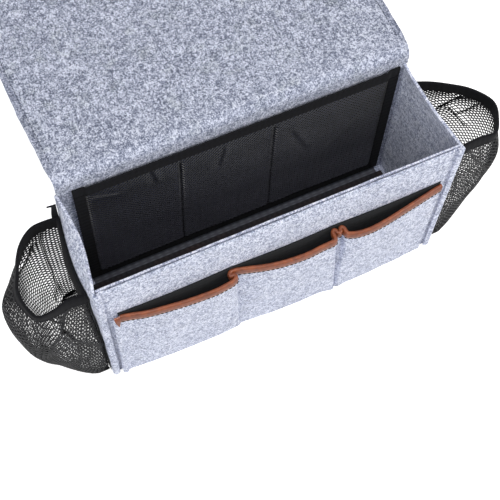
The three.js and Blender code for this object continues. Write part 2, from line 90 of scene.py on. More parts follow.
# Flap and the bend from the back wall into it. A stitch is the pitch of its row, its length and its width
flap_half, flap_end, flap_face = span("flap_top_layer")[1]
flap_layer = 1.85
flap_middle = flap_face - flap_layer / 2
under_middle = span("flap_under_layer")[0][2] + flap_layer / 2
flap_corner = 18
neck_step = 0.8
bend_radius = 9
bend_plane = half_depth - felt / 2
bend_low = flap_middle - bend_radius
flap_stitch_inset = 6
flap_stitch = (3.9, 2.8, 0.75)
flap_last_row = flap_end - 0.02
flap_wave = 0.5
left_narrowing = 6
left_narrowing_run = 70
right_narrowing = 3.5
right_narrowing_run = 25

# Front pockets
pocket_top = span("pocket_binding")[1][2]
strip_top = span("pocket_strip")[1][2]
backing_top = span("pocket_backing")[1][2]
pocket_felt = 1.8
strip_edge = 0.4
backing_cloth = 0.6
backing_sag = 2.5
backing_inset = 5
foot_belly = 3.2
pleat_width = 11.2
pleat_depth = 10
pleat_lean = 9
pleat_foot = 3.4
end_ridge = 5.9
binding_height = 10
binding_leather = 0.7
cloth_gap = 0.2
binding_stitch_rise = 1.1
# Where the trim's painted highlight lies along its roll, in the trim's UV
trim_roll_row = 1.2
trim_stitch = (4.2, 3.1, 1.15)
trim_tab_length = 12.5
binding_half = pocket_felt / 2 + cloth_gap + binding_leather
backing_face = half_depth + seam_gap + backing_cloth
top_plane = -(backing_face + seam_gap + binding_half)
foot_plane = -(backing_face + seam_gap + pocket_felt / 2)

# Net panel on the inside of the back wall
(panel_left, _, panel_bottom), (panel_right, panel_face, edge_tape_top) = span("mesh_panel_edge_tape")
panel_top = span("mesh_panel_top_binding")[1][2]
panel_tape = 10
top_tape = 12
tape_wall = 0.8
folded_tape = 0.45
net_cloth = 0.6
panel_plane = panel_face + cloth_gap + net_cloth / 2
panel_stand_off = 1.8
panel_ramp = 2.5
panel_pitch = 2
panel_strand = 0.46
panel_stitch = (3.4, 3, 1.9)
lining_cloth = 0.28
lining_top = 169.5
lining_bend = 1.5

# Net bags
bag_floor = span("left_mesh_bag")[0][2]
bag_mouth = span("left_bag_binding")[1][2]
bag_tape_width = 14
bag_tape = 0.75
bag_wall = 0.8
bag_seam_gap = 0.5
bag_tape_gap = 0.2
bag_swell_power = 1.65
bag_roundness = 5
bag_tape_half = bag_wall / 2 + bag_tape_gap + bag_tape
bag_stitch = (3.6, 2.6, 0.6)
bag_seam_tape = 8
net_pitch = 2.35
net_strand = 0.64
net_stretch = 0.12
net_slack = 0.6
crease_spread = 1.35

# Cloth sleeve of the base board
sleeve_wall = 0.5


# Making pieces

def deselect():
    bpy.ops.object.select_all(action="DESELECT")


def pick(piece):
    deselect()
    piece.select_set(True)
    bpy.context.view_layer.objects.active = piece


def spots(piece):
    values = np.empty(len(piece.data.vertices) * 3)
    piece.data.vertices.foreach_get("co", values)
    return values.reshape(-1, 3)


def points_at(x, y, z):
    """Points as rows of x, y and z. A single number holds for all of them."""
    return np.column_stack(np.broadcast_arrays(x, y, z))


def laid_grid(name, points, flat, fullness=None):
    """A grid whose points lie where the cloth goes. points has rows x columns x 3 values, and flat is the
    width and length that its UV map keeps, so that a pattern on it has its real size. fullness is each
    point's share of the cloth's thickness."""
    rows, columns = points.shape[:2]
    deselect()
    bpy.ops.mesh.primitive_grid_add(x_subdivisions=columns - 1, y_subdivisions=rows - 1, size=1)
    piece = bpy.context.object
    piece.name = name
    piece.data.name = name
    places = spots(piece) + 0.5
    column = np.rint(places[:, 0] * (columns - 1)).astype(int)
    row = np.rint(places[:, 1] * (rows - 1)).astype(int)
    piece.data.vertices.foreach_set("co", (points[row, column] * MM).ravel())
    uvs = piece.data.uv_layers[0].data
    shares = np.empty(len(uvs) * 2)
    uvs.foreach_get("uv", shares)
    uvs.foreach_set("uv", (shares.reshape(-1, 2) * (np.array(flat) * MM)).ravel())
    if fullness is not None:
        group = piece.vertex_groups.new(name="fullness")
        for place, weight in enumerate(fullness[row, column]):
            group.add([place], float(weight), "REPLACE")
    piece.data.update()
    return piece


def weld(piece, merge=True, close_ends=False):
    """Joins the seam of a closed strip, closes its open ends and turns its faces outwards."""
    pick(piece)
    bpy.ops.object.mode_set(mode="EDIT")
    bpy.ops.mesh.select_mode(type="VERT")
    bpy.ops.mesh.select_all(action="SELECT")
    if merge:
        bpy.ops.mesh.remove_doubles(threshold=0.02 * MM)
    if close_ends:
        bpy.ops.mesh.fill_holes(sides=0)
        bpy.ops.mesh.select_all(action="SELECT")
    bpy.ops.mesh.normals_make_consistent(inside=False)
    bpy.ops.object.mode_set(mode="OBJECT")


def thicken(piece, thickness, edge):
    """Gives cloth its thickness, half of it on each side, and softens its cut edges."""
    solid = piece.modifiers.new("thickness", "SOLIDIFY")
    solid.thickness = thickness * MM
    solid.offset = 0
    solid.use_even_offset = True
    if "fullness" in piece.vertex_groups:
        solid.vertex_group = "fullness"
    if edge:
        bevel = piece.modifiers.new("soft edge", "BEVEL")
        bevel.width = edge * MM
        bevel.segments = 2
        bevel.limit_method = "ANGLE"
        bevel.angle_limit = math.radians(55)
    pick(piece)
    for modifier in list(piece.modifiers):
        bpy.ops.object.modifier_apply(modifier=modifier.name)


def smooth(piece, angle=50):
    pick(piece)
    bpy.ops.object.shade_smooth_by_angle(angle=math.radians(angle))


def dress(piece, finish, slot, body, *nodes):
    """Gives a finished piece its material, its body and the nodes that it stands for. Its points keep their
    place at rest, which the patterns follow when the cloth bends."""
    rest = piece.data.attributes.new("rest", "FLOAT_VECTOR", "POINT")
    rest.data.foreach_set("vector", spots(piece).ravel())
    piece.data.materials.clear()
    piece.data.materials.append(finish)
    if body:
        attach(piece, body)
    if nodes:
        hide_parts(*nodes)


def sewn(name, points, flat, look, nodes=(), thickness=0, edge=0, fullness=None, seam=None):
    """A piece of cloth, tape or trim: laid, joined along its seam, thickened and dressed. look is its
    material, slot and body. seam is "ring" where the strip closes on itself, and "open" where its ends need
    closing too."""
    piece = laid_grid(name, points, flat, fullness)
    if seam:
        weld(piece, close_ends=seam == "open")
    if thickness:
        thicken(piece, thickness, edge)
    smooth(piece)
    dress(piece, *look, *nodes)


def mesh_from(name, points, faces):
    data = bpy.data.meshes.new(name)
    data.from_pydata((np.asarray(points) * MM).tolist(), [], faces)
    data.update()
    piece = bpy.data.objects.new(name, data)
    bpy.context.collection.objects.link(piece)
    return piece


def wander(place, length, reach, phase=0.0):
    """A slow unevenness of sewn cloth along a length: three waves that don't repeat together."""
    turn = np.asarray(place) * (2 * math.pi / length)
    waves = np.sin(turn + phase) + 0.6 * np.sin(2.3 * turn + 1.7 * phase + 1)
    return reach * (waves + 0.4 * np.sin(4.1 * turn + 2.9 * phase)) / 2


def unit(vectors):
    return vectors / np.maximum(np.linalg.norm(vectors, axis=-1, keepdims=True), 1e-9)


def offset_path(path, offset, closed=False):
    """The plan path moved to the right of its direction, with mitred corners."""
    step = np.diff(path, axis=0, append=path[:1])
    if not closed:
        step[-1] = step[-2]
    step = unit(step)
    before = np.roll(step, 1, axis=0)
    if not closed:
        before[0] = step[0]
    along = unit(step + before)
    reach = offset / np.maximum((along * before).sum(axis=1), 0.5)
    return path + np.stack([along[:, 1] * reach, -along[:, 0] * reach], axis=1)


def spline(knots, steps):
    """A smooth curve through the knots: a centripetal Catmull-Rom curve with even steps of its knots."""
    knots = np.asarray(knots, float)
    ring = np.vstack([2 * knots[0] - knots[1], knots, 2 * knots[-1] - knots[-2]])
    points = []
    for step in range(steps + 1):
        place = (len(knots) - 1) * step / steps
        first = min(int(place), len(knots) - 2)
        share = place - first
        a, b, c, d = ring[first:first + 4]
        ab, bc, cd = [max(np.linalg.norm(side), 1e-6) ** 0.5 for side in (b - a, c - b, d - c)]
        leave = ((b - a) / ab - (c - a) / (ab + bc) + (c - b) / bc) * bc
        arrive = ((c - b) / bc - (d - b) / (bc + cd) + (d - c) / cd) * bc
        points.append(b + leave * share + (-3 * b + 3 * c - 2 * leave - arrive) * share ** 2
                      + (2 * b - 2 * c + leave + arrive) * share ** 3)
    return np.array(points)


def even_steps(path, count, values=None):
    """The path, or the values given along it, at places set evenly along its length."""
    length = np.concatenate([[0], np.cumsum(np.linalg.norm(np.diff(path, axis=0), axis=1))])
    places = np.linspace(0, length[-1], count)
    lines = path if values is None else values
    return np.stack([np.interp(places, length, line) for line in lines.T], axis=1)


def path_length(path):
    return float(np.linalg.norm(np.diff(path, axis=0), axis=1).sum())


def band_points(path_at, section, closed):
    """The points of a band round a plan path: its section is a list of [offset, height]."""
    lines = []
    for offset, height in section:
        line = offset_path(path_at(height), offset, closed)
        if closed:
            line = np.vstack([line, line[:1]])
        lines.append(points_at(*line.T, height))
    return np.array(lines)


def fold_section(inside, wall, roof, width, round_steps=4, bulge=0.0):
    """A tape folded over an edge, with a round fold: up its outer face, over and down, then back inside."""
    outside = inside + wall
    top = roof + wall
    foot = top - width
    side = [[outside, foot], [outside + bulge * 0.6, foot + width * 0.2], [outside + bulge, (foot + top) / 2]]
    angles = [math.pi * step / round_steps for step in range(round_steps + 1)]
    fold = [[outside * math.cos(angle), top - outside + outside * math.sin(angle)] for angle in angles]
    far_side = [[-offset, height] for offset, height in side[::-1]]
    inner = [[-inside, foot], [-inside, roof], [inside, roof], [inside, foot]]
    return side + fold + far_side + inner + side[:1]


# Materials

def linear(code, share=1):
    """An sRGB hex colour as the linear values that the shaders take, or a share of them."""
    values = [int(code[place:place + 2], 16) / 255 for place in (0, 2, 4)]
    values = [value / 12.92 if value <= 0.04045 else ((value + 0.055) / 1.055) ** 2.4 for value in values]
    return [value * share for value in values] + [1]


def plug(node, inputs):
    """Sets a node's inputs, in their own order or by name or number, each to a value or to an output."""
    for name, value in inputs.items() if isinstance(inputs, dict) else enumerate(inputs):
        if isinstance(value, bpy.types.NodeSocket):
            node.id_data.links.new(value, node.inputs[name])
        else:
            node.inputs[name].default_value = value


def node_adder(tree):
    """The function that adds a node to a material with its settings and links, and gives its output."""
    def add(kind, inputs=(), output=0, **settings):
        node = tree.nodes.new("ShaderNode" + kind)
        for name, value in settings.items():
            setattr(node, name, value)
        plug(node, inputs)
        return node.outputs[output]
    return add


def new_material(name, roughness, specular=0.5, sheen=0, sheen_roughness=0.5):
    material = bpy.data.materials.new(name)
    material.use_nodes = True
    shader = material.node_tree.nodes["Principled BSDF"]
    plug(shader, {"Roughness": roughness, "Specular IOR Level": specular, "Sheen Weight": sheen,
                  "Sheen Roughness": sheen_roughness})
    return material, shader, node_adder(material.node_tree)


def grains(place, size, detail=2, roughness=0.5):
    """The inputs of a noise whose grains have the given size in millimetres."""
    return {"Vector": place, "Scale": 1 / (size * MM), "Detail": detail, "Roughness": roughness}


def needle_felt(name, dark, middle, light, patch, contrast, bend=None):
    """Polyester needle felt of mixed grey fibres: short pale and dark fibres give the eye a salt-and-pepper
    speckle with short strokes, a soft nap and no gloss. The fibres are 0.02 mm thick, so their clumps are
    drawn about 1 mm wide. bend is a painted highlight: a paler colour laid over the felt on the back wall, up
    to where it bends, where the bend faces the light."""
    material, shader, add = new_material(name, 0.95, 0.2, 0.2, 0.6)
    place = add("Attribute", (), "Vector", attribute_name="rest")
    fibres = []
    for size, turn, stretch in ((1, (0, 0.35, 0.3), (0.35, 1, 1)), (1, (0.5, 0, 0.2), (1, 0.4, 0.4)),
                                (1.05, (0, 0, 0), (1, 1, 1))):
        drawn = add("Mapping", {"Vector": place, "Rotation": turn, "Scale": stretch})
        clumps = add("TexVoronoi", {"Vector": drawn, "Scale": 1 / (size * MM)}, "Color")
        fibres.append(add("SeparateColor", [clumps], "Red"))
    grain = add("Math", [fibres[0], 0.6, fibres[1]], operation="MULTIPLY_ADD")
    grain = add("Math", [grain, 0.6, fibres[2]], operation="MULTIPLY_ADD")
    slow = add("TexNoise", grains(place, 7, 3, 0.7))
    grain = add("Math", [slow, 1.2, grain], operation="MULTIPLY_ADD")
    shade = add("MapRange", [grain, 1.58 - contrast, 1.58 + contrast])
    darker = add("MapRange", [shade, 0, 0.5])
    whole = add("Mix", {0: darker, 6: linear(dark), 7: linear(middle)}, 2, data_type="RGBA")
    lighter = add("MapRange", [shade, 0.5, 1])
    whole = add("Mix", {0: lighter, 6: whole, 7: linear(light)}, 2, data_type="RGBA")
    clouds = add("MapRange", [add("TexNoise", grains(place, 16, 3, 0.6)), 0.52, 0.75, 0, 0.45])
    whole = add("Mix", {0: clouds, 6: whole, 7: linear(patch)}, 2, data_type="RGBA", blend_type="MULTIPLY")
    if bend:
        # Painted highlight: the felt is drawn paler on the back wall and round the bend, fading out along the
        # flap.
        back = add("SeparateXYZ", [place], "Y")
        bend_highlight = add("MapRange", [back, (half_depth + 2) * MM, (half_depth + 34) * MM, 0.85, 0])
        whole = add("Mix", {0: bend_highlight, 6: whole, 7: linear(bend)}, 2, data_type="RGBA", blend_type="SCREEN")
        hem = add("Attribute", (), "Fac", attribute_name="hem")
        whole = add("Mix", {0: hem, 6: whole, 7: [0.84, 0.84, 0.86, 1]}, 2, data_type="RGBA",
                    blend_type="MULTIPLY")
    nap = add("Bump", {"Height": add("TexNoise", grains(place, 1.6, 2, 0.7)), "Distance": 0.4 * MM,
                       "Strength": 0.8})
    plug(shader, {"Base Color": whole, "Normal": nap})
    return material


def coated_leather(name, dark, light, roll_highlight):
    """Coated leather-look trim, embossed with a fine pebble grain and pressed flat by the seam: satin, with
    small soft glints. A patchy paler band along the roll above its stitching is a painted highlight."""
    material, shader, add = new_material(name, 0.42)
    place = add("Attribute", (), "Vector", attribute_name="rest")
    pebbles = add("TexVoronoi", {"Vector": place, "Scale": 1 / (0.9 * MM)}, "Distance", feature="SMOOTH_F1")
    tone = add("MapRange", [add("TexNoise", grains(place, 4, 3)), 0.3, 0.7])
    base = add("Mix", {0: tone, 6: linear(dark), 7: linear(light)}, 2, data_type="RGBA")
    up = add("SeparateXYZ", [add("TexCoord", (), "UV")], "Y")
    # Painted highlight: a paler band along the roll, a little above the stitching.
    from_roll = add("Math", [up, trim_roll_row * MM], operation="SUBTRACT")
    from_roll = add("Math", [from_roll], operation="ABSOLUTE")
    near_roll = add("MapRange", [from_roll, 0.1 * MM, 0.4 * MM, 1, 0])
    patches = add("MapRange", [add("TexNoise", grains(place, 2.6)), 0.3, 0.55, 0.45, 1])
    painted_highlight = add("Math", [near_roll, patches], operation="MULTIPLY")
    plug(shader, {"Base Color": add("Mix", {0: painted_highlight, 6: base, 7: linear(roll_highlight)}, 2, data_type="RGBA"),
                  "Normal": add("Bump", {"Height": pebbles, "Distance": 0.12 * MM, "Strength": 0.5})})
    return material


def painted_light_at_foot(add, colour, foot):
    """Painted light: black cloth is drawn paler and greyer towards the floor of the box."""
    up = add("SeparateXYZ", [add("Attribute", (), "Vector", attribute_name="rest")], "Z")
    low = add("MapRange", [up, 0, 150 * MM, 1, 0])
    return add("Mix", {0: low, 6: colour, 7: linear(foot)}, 2, data_type="RGBA")


def knitted_nylon(name, colour, foot=None):
    """Nylon yarn of a warp-knitted net: near black, with a slight gloss along each yarn."""
    material, shader, add = new_material(name, 0.42)
    place = add("Attribute", (), "Vector", attribute_name="rest")
    tone = add("MapRange", [add("TexNoise", grains(place, 2.5, 1)), 0.3, 0.7])
    yarn = add("Mix", {0: tone, 6: linear(colour, 0.55), 7: linear(colour)}, 2, data_type="RGBA")
    # foot is the paler colour towards the floor of the box: painted light.
    plug(shader, {"Base Color": painted_light_at_foot(add, yarn, foot) if foot else yarn})
    return material


def ribbed_tape(name, colour, rib):
    """Woven polyester tape: ribs across the tape catch the light as fine lines. The real ribs are 0.6 mm
    apart, and are drawn a little coarser so that they show."""
    material, shader, add = new_material(name, 0.88, 0.2, 0.03)
    ribs = add("TexWave", {"Vector": add("TexCoord", (), "UV"), "Scale": 1 / (20 * rib * MM),
                           "Distortion": 0.6, "Detail": 1, "Detail Scale": 2}, "Fac", wave_type="BANDS",
               bands_direction="X")
    place = add("Attribute", (), "Vector", attribute_name="rest")
    tone = add("MapRange", [add("TexNoise", grains(place, 3)), 0.3, 0.7, 0.1, 0.6])
    ribbed = add("Mix", {0: ribs, 6: linear(colour, 0.4), 7: linear(colour)}, 2, data_type="RGBA")
    plug(shader, {"Base Color": add("Mix", {0: tone, 6: ribbed, 7: linear(colour)}, 2, data_type="RGBA"),
                  "Normal": add("Bump", {"Height": ribs, "Distance": 0.15 * MM, "Strength": 0.7})})
    return material


def plain_weave(name, colour, thread, warm=None, foot=None):
    """Plain woven lining cloth: two sets of threads show as a very fine check with a dull sheen."""
    material, shader, add = new_material(name, 0.85, 0.2, 0.08)
    place = add("TexCoord", (), "UV")
    checks = [add("TexWave", {"Vector": place, "Scale": 1 / (20 * thread * MM), "Distortion": 0.4}, "Fac",
                  wave_type="BANDS", bands_direction=direction) for direction in ("X", "Y")]
    weave = add("Math", checks, operation="MULTIPLY")
    rest = add("Attribute", (), "Vector", attribute_name="rest")
    tone = add("MapRange", [add("TexNoise", grains(rest, 20)), 0.35, 0.7])
    base = add("Mix", {0: tone, 6: linear(colour), 7: linear(warm or colour)}, 2, data_type="RGBA")
    # foot is the paler colour towards the floor of the box: painted light.
    if foot:
        base = painted_light_at_foot(add, base, foot)
    deep = add("Mix", {0: 1, 6: base, 7: [0.6, 0.6, 0.6, 1]}, 2, data_type="RGBA", blend_type="MULTIPLY")
    plug(shader, {"Base Color": add("Mix", {0: weave, 6: deep, 7: base}, 2, data_type="RGBA"),
                  "Normal": add("Bump", {"Height": weave, "Distance": 0.12 * MM, "Strength": 0.6})})
    return material


def sewing_thread(name, colour):
    """Twisted polyester thread: slightly glossy, with its twist as fine slanting lines."""
    material, shader, add = new_material(name, 0.7, 0.2)
    place = add("Attribute", (), "Vector", attribute_name="rest")
    twist = add("MapRange", [add("TexNoise", grains(place, 0.5, 1)), 0.3, 0.7])
    plug(shader, {"Base Color": add("Mix", {0: twist, 6: linear(colour, 0.6), 7: linear(colour)}, 2,
                                    data_type="RGBA")})
    return material


def pressed_board(name, colour):
    """Pressed fibre board, dull and slightly mottled, as stiffeners in sewn goods are."""
    material, shader, add = new_material(name, 0.75, 0.3)
    flecks = add("TexNoise", grains(add("TexCoord", (), "Object"), 1.6, 4, 0.7))
    tone = add("MapRange", [flecks, 0.3, 0.7])
    plug(shader, {"Base Color": add("Mix", {0: tone, 6: linear(colour, 0.5), 7: linear(colour)}, 2,
                                    data_type="RGBA"),
                  "Normal": add("Bump", {"Height": flecks, "Distance": 0.1 * MM, "Strength": 0.5})})
    return material


# Each look is a material with its slot and its body
pale_felt = (needle_felt("pale needle felt", "868da8", "c5cbe0", "eff2ff", "dcdcda", 0.5), "felt_light",
             "box")
# The flap's felt is the box's felt drawn darker, as painted shade, because the flat flap takes less light
# than the front wall. Its last colour is a painted highlight on the back wall and round the bend.
shaded_felt = needle_felt("heather needle felt with painted shade", "5c6276", "9fa5ba", "dde1f1", "d5dacb", 0.56, "383c48")
# The trim's last colour is the painted highlight along its roll.
brown_trim = (coated_leather("brown coated trim", "6e3822", "944e2a", "d2aa98"), "trim_leather", "box")
bag_yarn = (knitted_nylon("black nylon net", "0d0d12"), "black_mesh", "box")
# The panel net and its cloth turn paler towards the floor of the box: painted light.
panel_yarn = (knitted_nylon("black panel net", "111116", "4e4e56"), "black_mesh", "box")
black_tape = (ribbed_tape("black ribbed tape", "0d0d12", 0.9), "black_tape", "box")
pocket_cloth = (plain_weave("black lining cloth", "16181e", 0.9), "black_lining", "box")
panel_cloth = (plain_weave("black panel cloth", "373d5c", 1.3, foot="767882"), "black_lining", "box")
sleeve_cloth = (plain_weave("black floor cloth", "3a3a40", 0.9, "4a3e3e"), "black_lining", "board")
flap_thread = (sewing_thread("grey thread", "565b6a"), "felt_flap", "flap")
tape_thread = (sewing_thread("black tape thread", "18181c"), "black_tape", "box")
trim_thread = (sewing_thread("dark brown thread", "1e0f0d"), "trim_leather", "box")
board_finish = pressed_board("pressed stiffener board", "3a3a40")


# Sewing

def stitch_row(name, paths, normals, stitch, look):
    """Rows of thread stitches that lie on the cloth: one six-sided stitch, copied along each path. stitch is
    the pitch of a row, and the length and width of one stitch."""
    pitch, length, width = stitch
    deselect()
    bpy.ops.mesh.primitive_uv_sphere_add(segments=6, ring_count=4, radius=0.5)
    pattern = bpy.context.object
    shape = spots(pattern)[:, [2, 0, 1]] * [length, width, width]
    faces = [list(polygon.vertices) for polygon in pattern.data.polygons]
    bpy.data.objects.remove(pattern)
    points = []
    all_faces = []
    for path, normal in zip(paths, normals):
        count = max(2, int(path_length(path) / pitch))
        line = even_steps(path, count * 2 + 1)
        line_normal = even_steps(path, count * 2 + 1, np.broadcast_to(normal, path.shape))
        for place in range(1, count * 2, 2):
            along = unit(line[place + 1] - line[place - 1])
            up = unit(line_normal[place] - along * (line_normal[place] @ along))
            start = len(points) * len(shape)
            points.append(line[place] + shape @ np.array([along, np.cross(up, along), up]))
            all_faces += [[corner + start for corner in face] for face in faces]
    piece = mesh_from(name, np.vstack(points), all_faces)
    weld(piece)
    smooth(piece, 180)
    dress(piece, *look)


def tape_stitches(name, line, height, stitch, look):
    """A row of stitches along a plan path, on the side that faces outwards."""
    step = np.gradient(line, axis=0)
    stitch_row(name, [points_at(*line.T, height)], [points_at(step[:, 1], -step[:, 0], 0)], stitch, look)


# Felt walls

def side_face(y, height, form):
    """How far the outer face of a side panel stands from the middle plane of the box."""
    rise = height / box_height
    hump = math.sin(math.pi * rise ** belly_height_power) * (1 - belly_lean_share * y / half_depth)
    bow = form["belly"] * hump - form["draw"] * rise ** rim_draw_power
    return half_width - rim_splay * (y / half_depth) * rise + np.cos(math.pi * y / (2 * half_depth)) * bow


def side_path(height, form):
    """The middle of a side panel's felt at a height, and its thickness there. Round the front corner the felt
    rolls into a raised seam, whose edge is pressed thin against the front."""
    start = lip_face + corner_radius
    y = np.linspace(half_depth - 0.5, start, 40)
    run = np.column_stack([side_face(y, height, form), y])
    centre = side_face(start, height, form) - corner_radius
    angle = np.linspace(0, math.pi / 2, 9)[1:]
    corner = np.column_stack([centre + corner_radius * np.cos(angle), start - corner_radius * np.sin(angle)])
    share = np.linspace(0, 1, 9)[1:]
    fall = (1 - np.cos(math.pi * share)) / 2 * (felt - lip_edge)
    lip = np.column_stack([centre - share * (corner_lip - corner_radius), lip_face + fall])
    thickness = np.concatenate([np.full(len(run) + len(corner), felt), felt - fall])
    return offset_path(np.vstack([run, corner, lip]), thickness / 2), thickness


def lip_end(height, form):
    return side_face(lip_face + corner_radius, height, form) - corner_lip


def to_the_foot(height, y):
    """In front of the bottom felt, the felt reaches down past it, almost to the floor."""
    drop = (wall_bottom - lip_foot) * (box_height - height) / (box_height - wall_bottom)
    return np.where(y < -half_depth - seam_gap, height - drop, height)


def side_panel(side, form):
    sign = 1 if side == "right" else -1
    rows = []
    fullness = []
    for height in np.linspace(wall_bottom, box_height, 90):
        line, thickness = side_path(height, form)
        on_front = np.clip((lip_face + corner_radius - line[:, 1]) / corner_radius, 0, 1)
        line[:, 0] += wander(line[:, 1] + 2 * height, 90, 0.35, 2.0 * sign) * (1 - on_front)
        line[:, 0] += wander(height, 38, 0.3, sign) * on_front
        line[:, 1] += (wander(height, 21, 0.2, 3 * sign) - 1.2 * (1 - height / box_height) ** 4) * on_front
        rows.append(points_at(sign * line[:, 0], line[:, 1], to_the_foot(height, line[:, 1])))
        fullness.append(thickness / felt)
    flat = (path_length(side_path(0, form)[0]), box_height - wall_bottom)
    sewn(f"{side}_side_felt", np.array(rows)[:, ::-sign], flat, pale_felt, [f"{side}_side_panel"], felt,
         thin_edge, np.array(fullness)[:, ::-sign])


def wall_edges(rear_face, height):
    left, right = [side_face(rear_face, height, form) - felt - seam_gap for form in (left_form, right_form)]
    return -left, right


def groove(place, line, width):
    return groove_depth * np.exp(-((place - line) / width) ** 2)


def with_fine_edges(edge, edge_steps, steps):
    """Shares from 0 to 1, closer together near both ends, where seams are pressed into the felt."""
    return np.concatenate([np.linspace(0, edge, edge_steps)[:-1], np.linspace(edge, 1 - edge, steps),
                           np.linspace(1 - edge, 1, edge_steps)[1:]])


def front_layer(name, rear_face, middle, is_outer, node):
    """A felt layer of the front wall, with rows closer together at its rim. The outer one has the seams along
    the rim and the side panels' lips pressed into it."""
    across = with_fine_edges(0.05, 24, 100)
    rows = []
    for height in np.concatenate([np.linspace(wall_bottom, box_height - 14, 60)[:-1],
                                  np.linspace(box_height - 14, box_height - 4, 12)[:-1],
                                  np.linspace(box_height - 4, box_height, 17)]):
        left, right = wall_edges(rear_face, height)
        x = left + (right - left) * across
        y = middle + wander(x + height, 120, 0.25, rear_face)
        if is_outer:
            y = y + groove(height, box_height - rim_groove_drop, rim_groove_width)
            for lip in (lip_groove_inset - lip_end(height, left_form),
                        lip_end(height, right_form) - lip_groove_inset):
                y = y + 1.2 * groove(x, lip, lip_groove_width)
        rows.append(points_at(x, y, height))
    left, right = wall_edges(rear_face, 0)
    sewn(name, np.array(rows), (right - left, box_height - wall_bottom), pale_felt, [node], front_felt,
         felt_edge)


def bottom_felt():
    x, y = np.meshgrid(np.linspace(-half_width, half_width, 108), np.linspace(-half_depth, half_depth, 36))
    points = np.stack([x, y, np.full_like(x, felt / 2)], axis=2)
    sewn("bottom_felt", points, (2 * half_width, 2 * half_depth), pale_felt, ["bottom_panel"], felt,
         felt_edge)


# Flap

def flap_rise(x, y):
    """How the flap's felt waves, away from its stitched bend. It hardly dips, and so stays clear of the box
    when it hangs behind it."""
    ease = np.clip((y - half_depth - 20) / 60, 0, 1)
    waves = wander(x + 0.4 * y, 190, flap_wave, 0.4) + wander(y - 0.3 * x, 140, flap_wave, 2.1)
    return ease * (waves + 1.8 * flap_wave)


def flap_edges(y):
    """The flap's left and right edges at a distance behind the box: it is drawn in at the bend, and its far
    corners are rounded."""
    back = max(y - half_depth, 0)
    past = min(max(y - (flap_end - flap_corner), 0), flap_corner)
    corner = flap_corner - math.sqrt(flap_corner ** 2 - past ** 2)
    left = flap_half - left_narrowing * math.exp(-back / left_narrowing_run) - corner
    right = flap_half - right_narrowing * math.exp(-back / right_narrowing_run) - corner
    return -left, right


def flap_row(shares, y, z, grooved):
    """One row of flap felt, waved, with the stitching pressed into its upper face."""
    left, right = flap_edges(y)
    x = left + (right - left) * shares
    from_edge = np.minimum(x - left, right - x)
    x = x + np.sign(x) * np.exp(-from_edge / 9) * wander(y, 60, 0.5, 1.3)
    height = z + flap_rise(x, y)
    if grooved:
        depth = min(max((y - half_depth - 12) / 6, 0), 1)
        height = height - groove(from_edge, flap_stitch_inset, 0.8) * depth
    return points_at(x, y, height)


def flap_rows(shares, start, count, z, grooved):
    """The rows of a flap layer from its start to the far edge, closer together at the rounded corners."""
    corner = flap_end - flap_corner * (1 - np.sin(np.linspace(0, math.pi / 2, 12)))
    places = np.concatenate([np.linspace(start, corner[0], count), corner[1:]])
    return [flap_row(shares, min(y, flap_last_row), z, grooved) for y in places]


def mark_hem(piece):
    """Marks the strip of the flap outside its stitching, which is pressed flat and looks darker."""
    hem = []
    for x, y in spots(piece)[:, :2] / MM:
        left, right = flap_edges(min(y, flap_last_row))
        from_edge = min(x - left, right - x, flap_end - y)
        strip = min(max((flap_stitch_inset + 0.3 - from_edge) / 0.8, 0), 1)
        hem.append(strip * min(max((y - half_depth) / 14, 0), 1))
    piece.data.attributes.new("hem", "FLOAT", "POINT").data.foreach_set("value", hem)


def back_and_flap():
    """The back wall, the bend over its top and the flap's upper layer, as one length of felt."""
    shares = with_fine_edges(0.03, 16, 120)
    rim = box_height + seam_gap
    rows = []
    for height in np.concatenate([np.linspace(wall_bottom, rim, 50),
                                  np.linspace(rim + neck_step, bend_low, 5)]):
        left, right = wall_edges(back_face, min(height, box_height))
        if height > rim:
            left, right = flap_edges(half_depth)
        rows.append(points_at(left + (right - left) * shares, bend_plane, height))
    for angle in np.linspace(0, math.pi / 2, 10)[1:]:
        y = bend_plane + bend_radius * (1 - math.cos(angle))
        left, right = flap_edges(y)
        rows.append(points_at(left + (right - left) * shares, y, bend_low + bend_radius * math.sin(angle)))
    flat_start = bend_plane + bend_radius
    points = np.array(rows + flap_rows(shares, flat_start, 84, flap_middle, True)[1:])
    flat = (2 * flap_half, path_length(points[:, len(shares) // 2]))
    piece = laid_grid("back_and_flap_felt", points, flat)
    thicken(piece, flap_layer, thin_edge)
    mark_hem(piece)
    smooth(piece)
    dress(piece, shaded_felt, "felt_flap", None, "back_panel", "flap_top_layer")
    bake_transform(piece)


def flap_under():
    shares = with_fine_edges(0.05, 6, 100)
    points = np.array(flap_rows(shares, half_depth + 8.5, 70, under_middle, False))
    flat = (2 * flap_half, path_length(points[:, len(shares) // 2]))
    sewn("flap_under_felt", points, flat, (shaded_felt, "felt_flap", "flap"), ["flap_under_layer"], flap_layer,
         thin_edge)


def flap_stitching():
    """Dashed topstitching along the sides and the far edge of the flap."""
    far = flap_end - flap_stitch_inset
    corner = flap_corner - flap_stitch_inset
    sides = np.concatenate([np.linspace(half_depth + 16, far - corner, 60),
                            far - corner * (1 - np.sin(np.linspace(0, math.pi / 2, 9)[1:]))])
    left, right = np.array([flap_edges(min(y, flap_end - flap_corner)) for y in sides]).T
    turn = corner - np.sqrt(corner ** 2 - np.clip(sides - far + corner, 0, corner) ** 2)
    x = np.concatenate([left + flap_stitch_inset + turn, (right - flap_stitch_inset - turn)[::-1]])
    y = np.concatenate([sides, sides[::-1]])
    height = flap_middle + flap_layer / 2 + flap_rise(x, y)
    stitch_row("flap_topstitching", [points_at(x, y, height - 0.35)], [(0, 0, 1)], flap_stitch, flap_thread)


# Front pockets

pocket_edges = [share * 2 * half_width for share in (-0.471, -0.15, 0.153, 0.464)]
